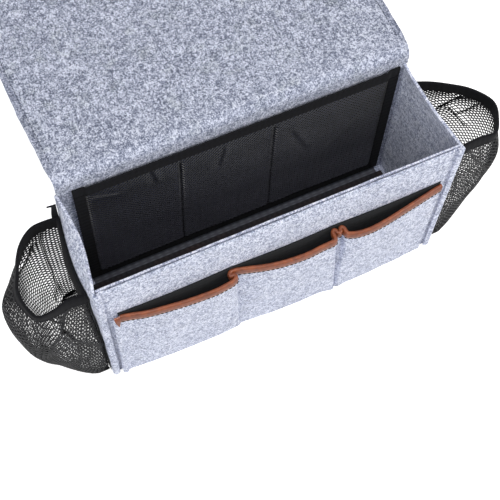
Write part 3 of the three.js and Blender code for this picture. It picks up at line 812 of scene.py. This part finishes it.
# Each pocket has its belly in millimetres, and points along and out in shares of its width and belly
pockets = [
    (11.5, [[0.06, 0.1], [0.21, 0.46], [0.36, 0.66], [0.53, 0.84], [0.69, 0.94], [0.84, 0.95]]),
    (12, [[0.07, 0.14], [0.14, 0.3], [0.31, 0.68], [0.5, 0.92], [0.7, 1], [0.87, 0.9]]),
    (12, [[0.06, 0.96], [0.14, 1.04], [0.22, 1.04], [0.36, 0.92], [0.56, 0.64], [0.76, 0.34], [0.93, 0.08]]),
]
# Each pleat has its middle, and its points across and forward at the top and at the foot
pleats = [
    (pocket_edges[1],
     [[0.04, 0.8], [0.16, 0.56], [0.02, 0.36], [-0.15, 0.42], [-0.2, 0.22], [-0.06, 0.02], [0.3, 0]],
     [[-0.04, 0.5], [0.05, 0.44], [0.1, 0.35], [0.14, 0.24], [0.18, 0.14], [0.24, 0.04], [0.4, 0]]),
    (pocket_edges[2],
     [[-0.66, 1], [-0.53, 0.85], [-0.5, 0.5], [-0.46, 0.2], [-0.33, 0.05], [-0.19, 0.2], [-0.17, 0.36],
      [0, 0.5], [0.17, 0.36], [0.19, 0.2], [0.33, 0.05], [0.48, 0.2], [0.52, 0.5], [0.58, 0.8], [0.8, 0.97]],
     [[-0.36, 1.4], [-0.22, 1.34], [-0.18, 0.9], [-0.18, 0.4], [-0.14, 0.05], [-0.1, 0], [-0.06, 0.05],
      [-0.02, 0.2], [0, 0.36], [0.01, 0.52], [0.03, 0.66], [0.07, 0.78], [0.14, 0.9], [0.26, 1.02],
      [0.5, 1.12]]),
]
end_fold = [[0, 0.3], [1.2, 2], [3, 2.1], [4.5, 0.4], [end_ridge, 0]]


def pocket_path(height, with_end=True):
    """The strip's plan path at a height: bellies between the pleats, which open out towards the foot, the
    inner parts of a pleat sooner than its outer folds. Its left end is a narrow ridge, pressed down beside it
    by the end seam."""
    rise = (height - wall_bottom) / (pocket_top - wall_bottom)

    def between(low, high, share=rise):
        return low + (high - low) * share

    ends = [[[pocket_edges[0] + along, out] for along, out in (end_fold if with_end else end_fold[-1:])]]
    for centre, tops, feet in pleats:
        fold = []
        for (across, forward), (foot_across, foot_forward) in zip(tops, feet):
            share = rise if forward > 0.55 else rise ** 2.5
            fold.append([centre + between(pleat_lean + pleat_width * foot_across, pleat_width * across),
                         between(pleat_foot * foot_forward, pleat_depth * forward, share)])
        ends.append(fold)
    ends.append([[pocket_edges[3], 0]])
    knots = list(ends[0])
    for place, (belly, shares) in enumerate(pockets):
        start = ends[place][-1]
        end = ends[place + 1][0]
        knots += [[start[0] + (end[0] - start[0]) * along, between(foot_belly, belly, rise ** 0.8) * out]
                  for along, out in shares]
        knots += ends[place + 1]
    path = even_steps(spline(knots, 900), 460)
    return np.column_stack([path[:, 0], between(foot_plane, top_plane) - path[:, 1]])


def pocket_strip():
    rows = []
    for height in np.concatenate([np.linspace(wall_bottom, strip_top - 12, 46),
                                  np.linspace(strip_top - 10.8, strip_top, 8)]):
        x, y = pocket_path(height).T
        ends = np.clip(np.minimum(x - pocket_edges[0], pocket_edges[3] - x) / 12, 0, 1)
        y = y - ends * np.abs(wander(x + 1.3 * height, 110, 0.4, 0.7))
        rows.append(points_at(x, y, to_the_foot(height, y)))
    flat = (path_length(pocket_path(pocket_top)), strip_top - wall_bottom)
    sewn("pocket_felt", np.array(rows), flat, pale_felt, ["pocket_strip"], pocket_felt, strip_edge)


def pocket_binding():
    def path_at(height):
        return pocket_path(height, False)

    section = fold_section(pocket_felt / 2 + cloth_gap, binding_leather, strip_top + cloth_gap,
                           binding_height, 6, 0.25)
    flat = (path_length(path_at(pocket_top)), 2 * binding_height)
    sewn("pocket_trim", band_points(path_at, section, False), flat, brown_trim, ["pocket_binding"],
         seam="open")
    height = pocket_top - binding_height + binding_stitch_rise
    line = offset_path(path_at(height), binding_half + 0.25)
    tape_stitches("pocket_trim_stitching", line, height, trim_stitch, trim_thread)


def trim_end_tab():
    """The end of the trim, cut to a point and sewn down on the ridge at the strip's left end."""
    rows = []
    for drop in np.linspace(0, 1, 9):
        narrow = 1 - drop ** 1.3
        x = pocket_edges[0] + 3.3 + np.linspace(-3.1, 2.1, 7) * (0.12 + 0.88 * narrow)
        y = top_plane - 2.1 - binding_half - 0.25 * np.cos(np.linspace(-1.2, 1.2, 7))
        rows.append(points_at(x, y, pocket_top + 0.6 - trim_tab_length * drop))
    over_the_top = [rows[0] + [0, back, 0] for back in (3.6, 2.4, 1.2)]
    sewn("pocket_trim_end", np.array(over_the_top + rows), (5.2, 16.1), brown_trim, thickness=binding_leather,
         edge=0.2)


def pocket_backing():
    left, right = pocket_edges[0] + backing_inset, pocket_edges[3]
    x = np.linspace(left, right, 150)
    top = np.full(len(x), backing_top)
    for start, end in zip(pocket_edges[:-1], pocket_edges[1:]):
        share = np.clip((x - start) / (end - start), 0, 1)
        top -= 4 * backing_sag * share * (1 - share)
    y = -(half_depth + seam_gap + backing_cloth / 2)
    points = np.array([points_at(x, y, wall_bottom + (top - wall_bottom) * rise)
                       for rise in np.linspace(0, 1, 50)])
    sewn("pocket_lining", points, (right - left, backing_top - wall_bottom), pocket_cloth, ["pocket_backing"],
         backing_cloth)


# Nets

def yarn_tubes(points, ring, radius):
    """The yarns of a net over a lattice of points, rows x columns x 3. They run along the diagonals and cross
    at every second point, as on a knitted net. Each yarn is a three-sided tube, closed at its ends. radius is
    one value or one for each row."""
    rows, columns = points.shape[:2]
    radii = np.broadcast_to(radius, rows)
    padded = np.pad(points, ((0, 0), (1, 1), (0, 0)), "wrap" if ring else "edge")
    normals = unit(np.cross(np.gradient(padded, axis=1)[:, 1:-1], np.gradient(points, axis=0)))
    runs = []
    for turn in (1, -1):
        starts = [(0, column) for column in range(0, columns, 2)]
        if not ring:
            edge = 0 if turn > 0 else columns - 1
            starts += [(row, edge) for row in range(1, rows) if (row + edge) % 2 == 0]
        for row, column in starts:
            count = rows - row
            if not ring:
                count = min(count, columns - column if turn > 0 else column + 1)
            if count > 1:
                steps = np.arange(count)
                runs.append((row + steps, (column + turn * steps) % columns))
    corners = []
    faces = []
    angles = [math.pi / 2 + 2 * math.pi * side / 3 for side in range(3)]
    start = 0
    for row_places, column_places in runs:
        line = points[row_places, column_places]
        normal = normals[row_places, column_places]
        across = unit(np.cross(unit(np.gradient(line, axis=0)), normal))
        thick = radii[row_places][:, None]
        tube = [line + thick * (math.cos(angle) * across + math.sin(angle) * normal) for angle in angles]
        corners.append(np.stack(tube, axis=1).reshape(-1, 3))
        end = start + 3 * (len(line) - 1)
        first = np.arange(start, end, 3)
        for side in range(3):
            ahead = (side + 1) % 3
            faces.append(np.stack([first + side, first + ahead, first + 3 + ahead, first + 3 + side], 1))
        faces.append(np.array([[start + 2, start + 1, start, -1], [end, end + 1, end + 2, -1]]))
        start = end + 3
    return np.vstack(corners), np.vstack(faces)


def net(name, lattices):
    """One net over one or more lattices. The real cells are about 1.2 mm wide, and are drawn about twice as
    coarse, so that they show. Below a bag's mouth the net is stretched and its yarns are thinner."""
    corners = []
    faces = []
    start = 0
    for points, ring, radius in lattices:
        tubes, sides = yarn_tubes(points, ring, radius)
        corners.append(tubes)
        faces += [[corner + start for corner in face if corner >= 0] for face in sides.tolist()]
        start += len(tubes)
    piece = mesh_from(name, np.vstack(corners), faces)
    weld(piece, merge=False)
    return piece


def crease_net(lattice, places, creases, free, slack):
    """Folds a net along its creases. places gives each point's two lengths along the net. Points near a
    crease are drawn to it, so that the net lies double there and looks darker, and lift off where the net is
    free."""
    around = np.gradient(lattice, axis=1) / np.gradient(places[..., 0], axis=1)[..., None]
    upward = np.gradient(lattice, axis=0) / np.gradient(places[..., 1], axis=0)[..., None]
    normals = unit(np.cross(around, upward))
    waves = wander(places[..., 0] + 0.4 * places[..., 1], 130, 1, 0.8) + wander(places[..., 1], 150, 1, 2.2)
    moved = lattice + (waves * slack)[..., None] * normals
    for width, gather, lift, line in creases:
        lengths = np.linalg.norm(np.diff(line, axis=0), axis=1)
        runs = np.concatenate([[0], np.cumsum(lengths)]) / lengths.sum()
        nearest = np.full(free.shape, np.inf)
        shift = np.zeros(places.shape)
        ease = np.zeros(free.shape)
        for place in range(len(line) - 1):
            along = line[place + 1] - line[place]
            share = np.clip(((places - line[place]) @ along) / (along @ along), 0, 1)
            off = line[place] + share[..., None] * along - places
            distance = np.linalg.norm(off, axis=2)
            nearer = distance < nearest
            nearest = np.where(nearer, distance, nearest)
            shift = np.where(nearer[..., None], off, shift)
            run = runs[place] + share * (runs[place + 1] - runs[place])
            ease = np.where(nearer, np.clip(np.minimum(run + 0.06, 1.06 - run) / 0.2, 0, 1), ease)
        pull = np.exp(-(nearest / width) ** 2) * ease
        moved += (gather * pull)[..., None] * (shift[..., :1] * around + shift[..., 1:] * upward)
        moved += (lift * pull * free)[..., None] * normals
    return moved


# Net panel with its tapes

panel_seams = [share * 2 * half_width for share in (-0.162, 0.106)]
# Folds of the slack net, given as a bag's creases are, but in shares of the panel's width and height
panel_folds = [
    (4, 0.45, 0.3, [[0.05, 0.9], [0.13, 0.83]]),
    (4, 0.45, 0.3, [[0.22, 0.97], [0.24, 0.8]]),
    (4, 0.45, 0.3, [[0.45, 0.9], [0.43, 0.72]]),
    (5, 0.45, 0.3, [[0.66, 0.8], [0.72, 0.55]]),
    (5, 0.45, 0.3, [[0.88, 0.7], [0.8, 0.5]]),
]


def panel_out(x, z):
    """How far the net stands off the back wall: a shallow belly in each of its three pockets."""
    edges = [panel_left + panel_tape, *panel_seams, panel_right - panel_tape]

    def inward(start, end):
        return np.clip(np.minimum(x - start, end - x) / panel_ramp, 0, 1)

    under_top = np.clip((z - panel_top + 26) / 12, 0, 1)
    out = under_top * inward(edges[0], edges[-1])
    for start, end in zip(edges[:-1], edges[1:]):
        out = np.maximum(out, inward(start, end))
    return panel_stand_off * out * np.clip((z - panel_bottom - panel_tape) / panel_ramp, 0, 1)


def net_panel():
    size = np.array([panel_right - panel_left, panel_top - panel_bottom])
    columns = int(size[0] / panel_pitch)
    rows = int((size[1] - 2) / panel_pitch)
    x, z = np.meshgrid(np.linspace(panel_left, panel_right, columns),
                       np.linspace(panel_bottom, panel_top - 1, rows))
    out = panel_out(x, z)
    free = np.clip(out / panel_stand_off, 0, 1)
    folds = [(width, gather, lift, [panel_left, panel_bottom] + np.array(line) * size)
             for width, gather, lift, line in panel_folds]
    lattice = np.stack([x, panel_plane - out, z], axis=2)
    lattice = crease_net(lattice, np.stack([x, z], axis=2), folds, free, 0.7 * free)
    piece = net("inner_net", [(lattice, False, panel_strand)])
    dress(piece, *panel_yarn, "mesh_panel")


def panel_stitching():
    """The two rows of stitches that part the net panel into its three pockets."""
    z = np.linspace(panel_bottom + panel_tape, panel_top - top_tape - 8, 80)
    paths = [points_at(x, panel_plane - panel_strand, z) for x in panel_seams]
    stitch_row("inner_net_stitching", paths, [(0, -1, 0)] * 2, panel_stitch, tape_thread)


def panel_lining():
    """Black cloth between the net panel and the felt of the back wall. It turns on to the bottom felt, as
    far as the base board."""
    wall_y = (back_face + panel_plane + net_cloth) / 2
    foot_z = felt + 0.15
    turn = np.linspace(0, math.pi / 2, 6)[1:]
    y = np.concatenate([np.full(40, wall_y), wall_y - lining_bend * (1 - np.cos(turn)),
                        np.linspace(wall_y - 2.5, wall_y - 7, 4)])
    z = np.concatenate([np.linspace(lining_top, foot_z + lining_bend, 40),
                        foot_z + lining_bend * (1 - np.sin(turn)), np.full(4, foot_z)])
    x = np.linspace(panel_left + 1, panel_right - 1, 60)
    points = np.array([points_at(x, *place) for place in zip(y[::-1], z[::-1])])
    sewn("inner_net_lining", points, (x[-1] - x[0], path_length(np.column_stack([y, z]))), panel_cloth,
         thickness=lining_cloth)


def panel_top_tape():
    x = np.linspace(panel_left, panel_right, 240)
    path = np.column_stack([x, panel_plane - panel_out(x, panel_top)])
    section = fold_section(net_cloth / 2 + cloth_gap, folded_tape, panel_top - folded_tape, top_tape, 4, 0.15)
    sewn("inner_net_top_tape", band_points(lambda height: path, section, False),
         (panel_right - panel_left, 2 * top_tape), black_tape, ["mesh_panel_top_binding"], seam="open")


def panel_edge_tape():
    """One tape down the left edge, along the foot and up the right edge, with its corners folded square."""
    half = panel_tape / 2
    left, right, foot = panel_left + half, panel_right - half, panel_bottom + half
    path = np.vstack([np.linspace([left, edge_tape_top], [left, foot], 60),
                      np.linspace([left, foot], [right, foot], 120)[1:],
                      np.linspace([right, foot], [right, edge_tape_top], 60)[1:]])
    rows = []
    for offset in np.linspace(-half, half, 9):
        x, z = offset_path(path, offset).T
        rows.append(points_at(x, panel_face - tape_wall / 2, z))
    sewn("inner_net_edge_tape", np.array(rows), (path_length(path), panel_tape), black_tape,
         ["mesh_panel_edge_tape"], tape_wall, 0.25)


# Net bags

# The outer run of a bag's floor, out and along in shares of the bag's depth and of half the box's
floor_shares = [[0, 0.84], [0.28, 0.87], [0.52, 0.78], [0.74, 0.54], [0.89, 0.21], [0.95, -0.1],
                [0.92, -0.38], [0.81, -0.64], [0.6, -0.83], [0.33, -0.91], [0, -0.88]]
# A crease is how wide it gathers the net, how much, how far it stands off, and its line in shares of the way
# round from the back corner to the front and of the mouth's height
left_bag = {
    "form": left_form,
    "depth": 52,
    "swell": 0.27,
    "mouth": [[0, 0.75], [0.23, 0.77], [0.47, 0.74], [0.71, 0.5], [0.84, 0.07], [0.92, -0.2], [0.92, -0.5],
              [0.82, -0.82], [0.57, -0.82], [0.28, -0.74], [0, -0.77]],
    "lean": [[0, 0], [0.48, 0], [0.56, 0.8], [0.62, 2.2], [0.72, 2.6], [0.8, 1.2], [0.86, 0], [1, 0]],
    "puff": [[0, 0], [0.3, 0], [0.4, 4], [0.48, 8], [0.58, 8], [0.68, 6], [0.8, 2], [0.88, 0], [1, 0]],
    "creases": [
        (5, 1, 2, [[0.11, 0.95], [0.1, 0.65], [0.1, 0.41], [0.1, 0.02]]),
        (3.5, 0.9, 2, [[0.16, 0.83], [0.18, 0.71], [0.21, 0.64], [0.29, 0.65]]),
        (3.5, 0.9, 1.5, [[0.12, 0.35], [0.14, 0.2], [0.18, 0.02]]),
        (8, 1.2, 3, [[0.94, 0.93], [0.88, 0.84], [0.84, 0.76], [0.85, 0.6], [0.87, 0.45]]),
        (6, 1.1, -3, [[0.88, 0.76], [0.91, 0.62], [0.95, 0.48], [1, 0.33]]),
        (3.5, 0.9, -1.5, [[0.85, 0.76], [0.88, 0.66], [0.92, 0.55]]),
        (4, 1, 2, [[0.74, 1], [0.79, 0.9], [0.84, 0.82]]),
        (4, 0.9, -2, [[0.8, 0.81], [0.77, 0.75], [0.75, 0.68]]),
        (4.5, 0.9, -2.5, [[0.69, 0.98], [0.72, 0.86], [0.73, 0.76], [0.75, 0.6]]),
        (4.5, 0.9, 2, [[0.89, 0.5], [0.87, 0.36], [0.85, 0.22]]),
    ],
}
right_bag = {
    "form": right_form,
    "depth": 54.5,
    "swell": 0.16,
    "mouth": [[0, 0.73], [0.27, 0.6], [0.54, 0.41], [0.79, 0.19], [0.98, -0.13], [1, -0.3], [0.91, -0.53],
              [0.72, -0.8], [0.44, -0.79], [0.23, -0.8], [0, -0.83]],
    "lean": [[0, 0], [1, 0]],
    "puff": [[0, 0], [0.4, 1], [0.6, 3], [0.75, 2], [0.9, 0], [1, 0]],
    "creases": [
        (4.5, 1, 2.5, [[0.16, 0.6], [0.2, 0.73], [0.24, 0.8], [0.31, 0.92]]),
        (4, 0.9, 2, [[0.25, 0.73], [0.31, 0.64], [0.38, 0.57]]),
        (3, 0.85, 1.5, [[0.31, 0.66], [0.36, 0.76], [0.41, 0.88]]),
        (6, 1.1, -3, [[0.92, 0.95], [0.86, 0.83], [0.79, 0.72], [0.77, 0.62]]),
        (4.5, 0.9, 2, [[0.95, 0.8], [0.92, 0.6], [0.9, 0.42]]),
        (5, 0.9, -2, [[0.7, 0.96], [0.72, 0.76], [0.78, 0.5], [0.82, 0.3]]),
    ],
}


def bag_knots(height, bag):
    """The outer run of a bag's plan outline at a height, from the back corner round to the front one."""
    rise = (height - bag_floor) / (bag_mouth - bag_floor)
    fall = (1 - rise) * (1 - bag_floor / bag_mouth)
    rounding = (1 - fall ** bag_roundness) ** (1 / bag_roundness)
    below_tape = min(max(height - bag_floor, 0) / (bag_mouth - bag_tape_width - bag_floor), 1)
    swell = bag["swell"] * math.sin(math.pi * below_tape ** bag_swell_power)
    low = np.array(floor_shares)
    out, along = (low + (np.array(bag["mouth"]) - low) * rise).T
    return np.column_stack([out * (1 + swell) * rounding * bag["depth"],
                            along * (1 + swell * out) * half_depth])


def bag_path(height, bag, count):
    """The closed outline of a bag at a height, and how much of it is the outer run. Where the mouth's tape
    leans, its lower edge hangs inwards, and where the net puffs out, it does so just below the tape."""
    outer = spline(bag_knots(height, bag), 200)
    inner = np.linspace(outer[-1], outer[0], 60)[1:]
    ring = even_steps(np.vstack([outer, inner]), count + 1)[:-1]
    x = side_face(ring[:, 1], height, bag["form"]) + bag_seam_gap + bag_tape_half + ring[:, 0]
    outer_share = path_length(outer) / (path_length(outer) + path_length(inner))
    below = bag_mouth - height - bag_tape_width
    hang = min((bag_mouth - height) / bag_tape_width, 1) * math.exp(-max(below, 0) / 16)
    loose = min(max(below + 2, 0) / 12, 1) * math.exp(-max(below - 24, 0) / 45)
    way = np.arange(count) / count / outer_share
    inward = np.interp(way, *np.array(bag["lean"]).T, right=0) * hang
    inward -= np.interp(way, *np.array(bag["puff"]).T, right=0) * loose * min(height / 60, 1)
    return offset_path(np.column_stack([x, ring[:, 1]]), inward, True), outer_share


def bag_net(side, bag):
    """The net of a bag: its sides, creased, and its floor, which is sewn in at their foot."""
    columns = 2 * round(path_length(bag_path(bag_mouth, bag, 200)[0]) / net_pitch / 2)
    heights = np.linspace(bag_floor, bag_mouth - 1.2, round(bag_mouth / net_pitch))
    run = path_length(spline(bag_knots(bag_mouth * 0.6, bag), 100))
    rows = []
    places = []
    for height in heights:
        ring, outer_share = bag_path(height, bag, columns)
        rows.append(points_at(*ring.T, height))
        places.append(np.column_stack([np.arange(columns) / columns / outer_share * run,
                                       np.full(columns, height)]))
    places = np.array(places)
    creases = [(crease_spread * width, gather, lift, np.array(line) * [run, bag_mouth])
               for width, gather, lift, line in bag["creases"]]
    free = np.clip((bag_mouth - places[..., 1]) / bag_tape_width, 0, 1) * np.clip(places[..., 1] / 30, 0, 1)
    sides = crease_net(np.array(rows), places, creases, free, net_slack * free)
    knots = even_steps(spline(bag_knots(bag_floor, bag), 100), round(1.7 * half_depth / net_pitch))
    seam = side_face(knots[:, 1], bag_floor, bag["form"]) + bag_seam_gap + bag_tape_half
    floor = np.array([points_at(seam + knots[:, 0] * reach, knots[:, 1], bag_floor)
                      for reach in np.linspace(0, 1, 22)])
    if side == "left":
        sides, floor = [lattice[:, ::-1] * [-1, 1, 1] for lattice in (sides, floor)]
    strands = net_strand * (1 - net_stretch * np.clip((bag_mouth - bag_tape_width - heights) / 50, 0, 1))
    piece = net(f"{side}_bag_net", [(sides, True, strands), (floor, False, strands[0])])
    dress(piece, *bag_yarn, f"{side}_mesh_bag")
    around = path_length(bag_path(bag_mouth * 0.6, bag, columns)[0])


def bag_tapes(side, bag):
    """The ribbed tape folded over the mouth of a bag, and its stitching."""
    sign = 1 if side == "right" else -1

    def path_at(height):
        return (bag_path(height, bag, 150)[0] * [sign, 1])[::-sign]

    section = fold_section(bag_wall / 2 + bag_tape_gap, bag_tape, bag_mouth - bag_tape, bag_tape_width,
                           bulge=0.2)
    flat = (path_length(path_at(bag_mouth)), 2 * bag_tape_width)
    sewn(f"{side}_bag_tape", band_points(path_at, section, True), flat, black_tape, [f"{side}_bag_binding"],
         seam="ring")
    height = bag_mouth - bag_tape_width + 1.6
    line = offset_path(path_at(height), bag_tape_half + 0.1, True)
    tape_stitches(f"{side}_bag_tape_stitching", line, height, bag_stitch, tape_thread)


def left_tape_end():
    """The loose end of the left bag's tape, which stands up behind the back corner and bends outwards."""
    rows = []
    for rise, reach in ((-9, 6.8), (-2, 6.7), (4, 6.2), (8.5, 5.6), (13, 5), (16, 4.8), (18.4, 6.6),
                        (19.4, 9)):
        x = side_face(40, bag_mouth, left_form) + np.linspace(0.8, reach, 6)
        bend = 0.03 * max(rise - 12, 0) ** 2
        rows.append(points_at(-x, 40.2 - bend, bag_mouth + rise + 0.15 * (x - x[0])))
    sewn("left_bag_tape_end", np.array(rows), (6, 28), black_tape, thickness=1.4, edge=0.25)


def bag_seam(side, bag):
    """The tape that sews the front edge of a bag to its side panel."""
    sign = 1 if side == "right" else -1
    rows = []
    for height in np.linspace(bag_floor + 1, bag_mouth - 3, 50):
        front = bag_knots(height, bag)[-1][1]
        y = np.linspace(front - 4, front + bag_seam_tape - 4, 5)
        x = side_face(y, height, bag["form"]) + bag_seam_gap + 0.35
        rows.append(points_at(sign * x, y, height))
    sewn(f"{side}_bag_seam_tape", np.array(rows), (bag_seam_tape, bag_mouth - bag_floor - 4), black_tape,
         thickness=0.5, edge=0.15)


# Base board in its sleeve

def board_sleeve():
    low, high = np.array(span("base_board_sleeve"))
    middle = (low + high) / 2
    half = (high - low) / 2 - sleeve_wall / 2
    ring = []
    for step in range(65):
        angle = 2 * math.pi * step / 64
        across = math.copysign(abs(math.cos(angle)) ** 0.12, math.cos(angle))
        up = math.copysign(abs(math.sin(angle)) ** 0.5, math.sin(angle))
        ring.append([middle[1] + half[1] * across, middle[2] + half[2] * up])
    ring = even_steps(np.array(ring), 90)
    x = np.linspace(low[0], high[0], 120)
    sewn("base_board_cloth", np.array([points_at(x, y, z) for y, z in ring]),
         (high[0] - low[0], path_length(ring)), sleeve_cloth, ["base_board_sleeve"], sleeve_wall, seam="ring")


# Studio

def studio():
    scene = bpy.context.scene
    scene.view_settings.view_transform = "Standard"
    camera = bpy.data.cameras.new("camera")
    camera.lens = 80.28
    camera.clip_start = 0.05
    eye = bpy.data.objects.new("camera", camera)
    eye.location = (-0.22864, -0.41811, 1.00235)
    eye.rotation_euler = [math.radians(angle) for angle in (26.018, -1.556, -24.916)]
    scene.collection.objects.link(eye)
    scene.camera = eye

    lamps = [("key", (1.5, -1.2, 1.4), 1, 24, (1, 0.99, 0.97)),
             ("fill", (-1.6, -0.9, 1), 1.5, 14, (0.95, 0.97, 1)),
             ("top", (-0.2, -0.35, 2.1), 1.2, 14, (1, 1, 1))]
    for name, place, size, power, colour in lamps:
        light = bpy.data.lights.new(name, "AREA")
        light.shape = "SQUARE"
        light.size = size
        light.energy = power
        light.color = colour
        lamp = bpy.data.objects.new(name, light)
        lamp.location = place
        aim = -lamp.location
        aim.z += 0.1
        lamp.rotation_euler = aim.to_track_quat("-Z", "Y").to_euler()
        scene.collection.objects.link(lamp)

    world = bpy.data.worlds.new("world")
    world.use_nodes = True
    scene.world = world
    add = node_adder(world.node_tree)
    rays = add("LightPath").node.outputs
    seen = add("Math", [rays["Is Camera Ray"], rays["Is Glossy Ray"]], operation="MAXIMUM")
    seen = add("Math", [seen, rays["Is Transmission Ray"]], operation="MAXIMUM")
    strength = add("MapRange", [seen, 0, 1, 0.36, 1])
    plug(world.node_tree.nodes["Background"], {"Color": (1, 1, 1, 1), "Strength": strength})

    deselect()
    bpy.ops.mesh.primitive_plane_add(size=6, location=(0, 0, -0.0003))
    floor = bpy.context.object
    floor.name = "floor"
    material, shader, add = new_material("white paper floor", 1, 0)
    glow = add("MapRange", [add("LightPath", (), "Is Camera Ray"), 0, 1, 0, 0.75])
    plug(shader, {"Base Color": (0.85, 0.85, 0.85, 1), "Emission Color": (1, 1, 1, 1),
                  "Emission Strength": glow})
    floor.data.materials.append(material)


studio()
bottom_felt()
side_panel("left", left_form)
side_panel("right", right_form)
front_layer("front_felt", front_rear, front_rear - felt + front_felt / 2, True, "front_panel")
front_layer("front_inner_felt", lining_rear, lining_rear - front_felt / 2, False, "front_lining")
back_and_flap()
flap_under()
flap_stitching()
pocket_backing()
pocket_strip()
pocket_binding()
trim_end_tab()
net_panel()
panel_stitching()
panel_lining()
panel_top_tape()
panel_edge_tape()
for side, bag in (("left", left_bag), ("right", right_bag)):
    bag_net(side, bag)
    bag_tapes(side, bag)
    bag_seam(side, bag)
left_tape_end()
board_sleeve()
board = bpy.data.objects["base_board"]
board.data.materials.clear()
board.data.materials.append(board_finish)
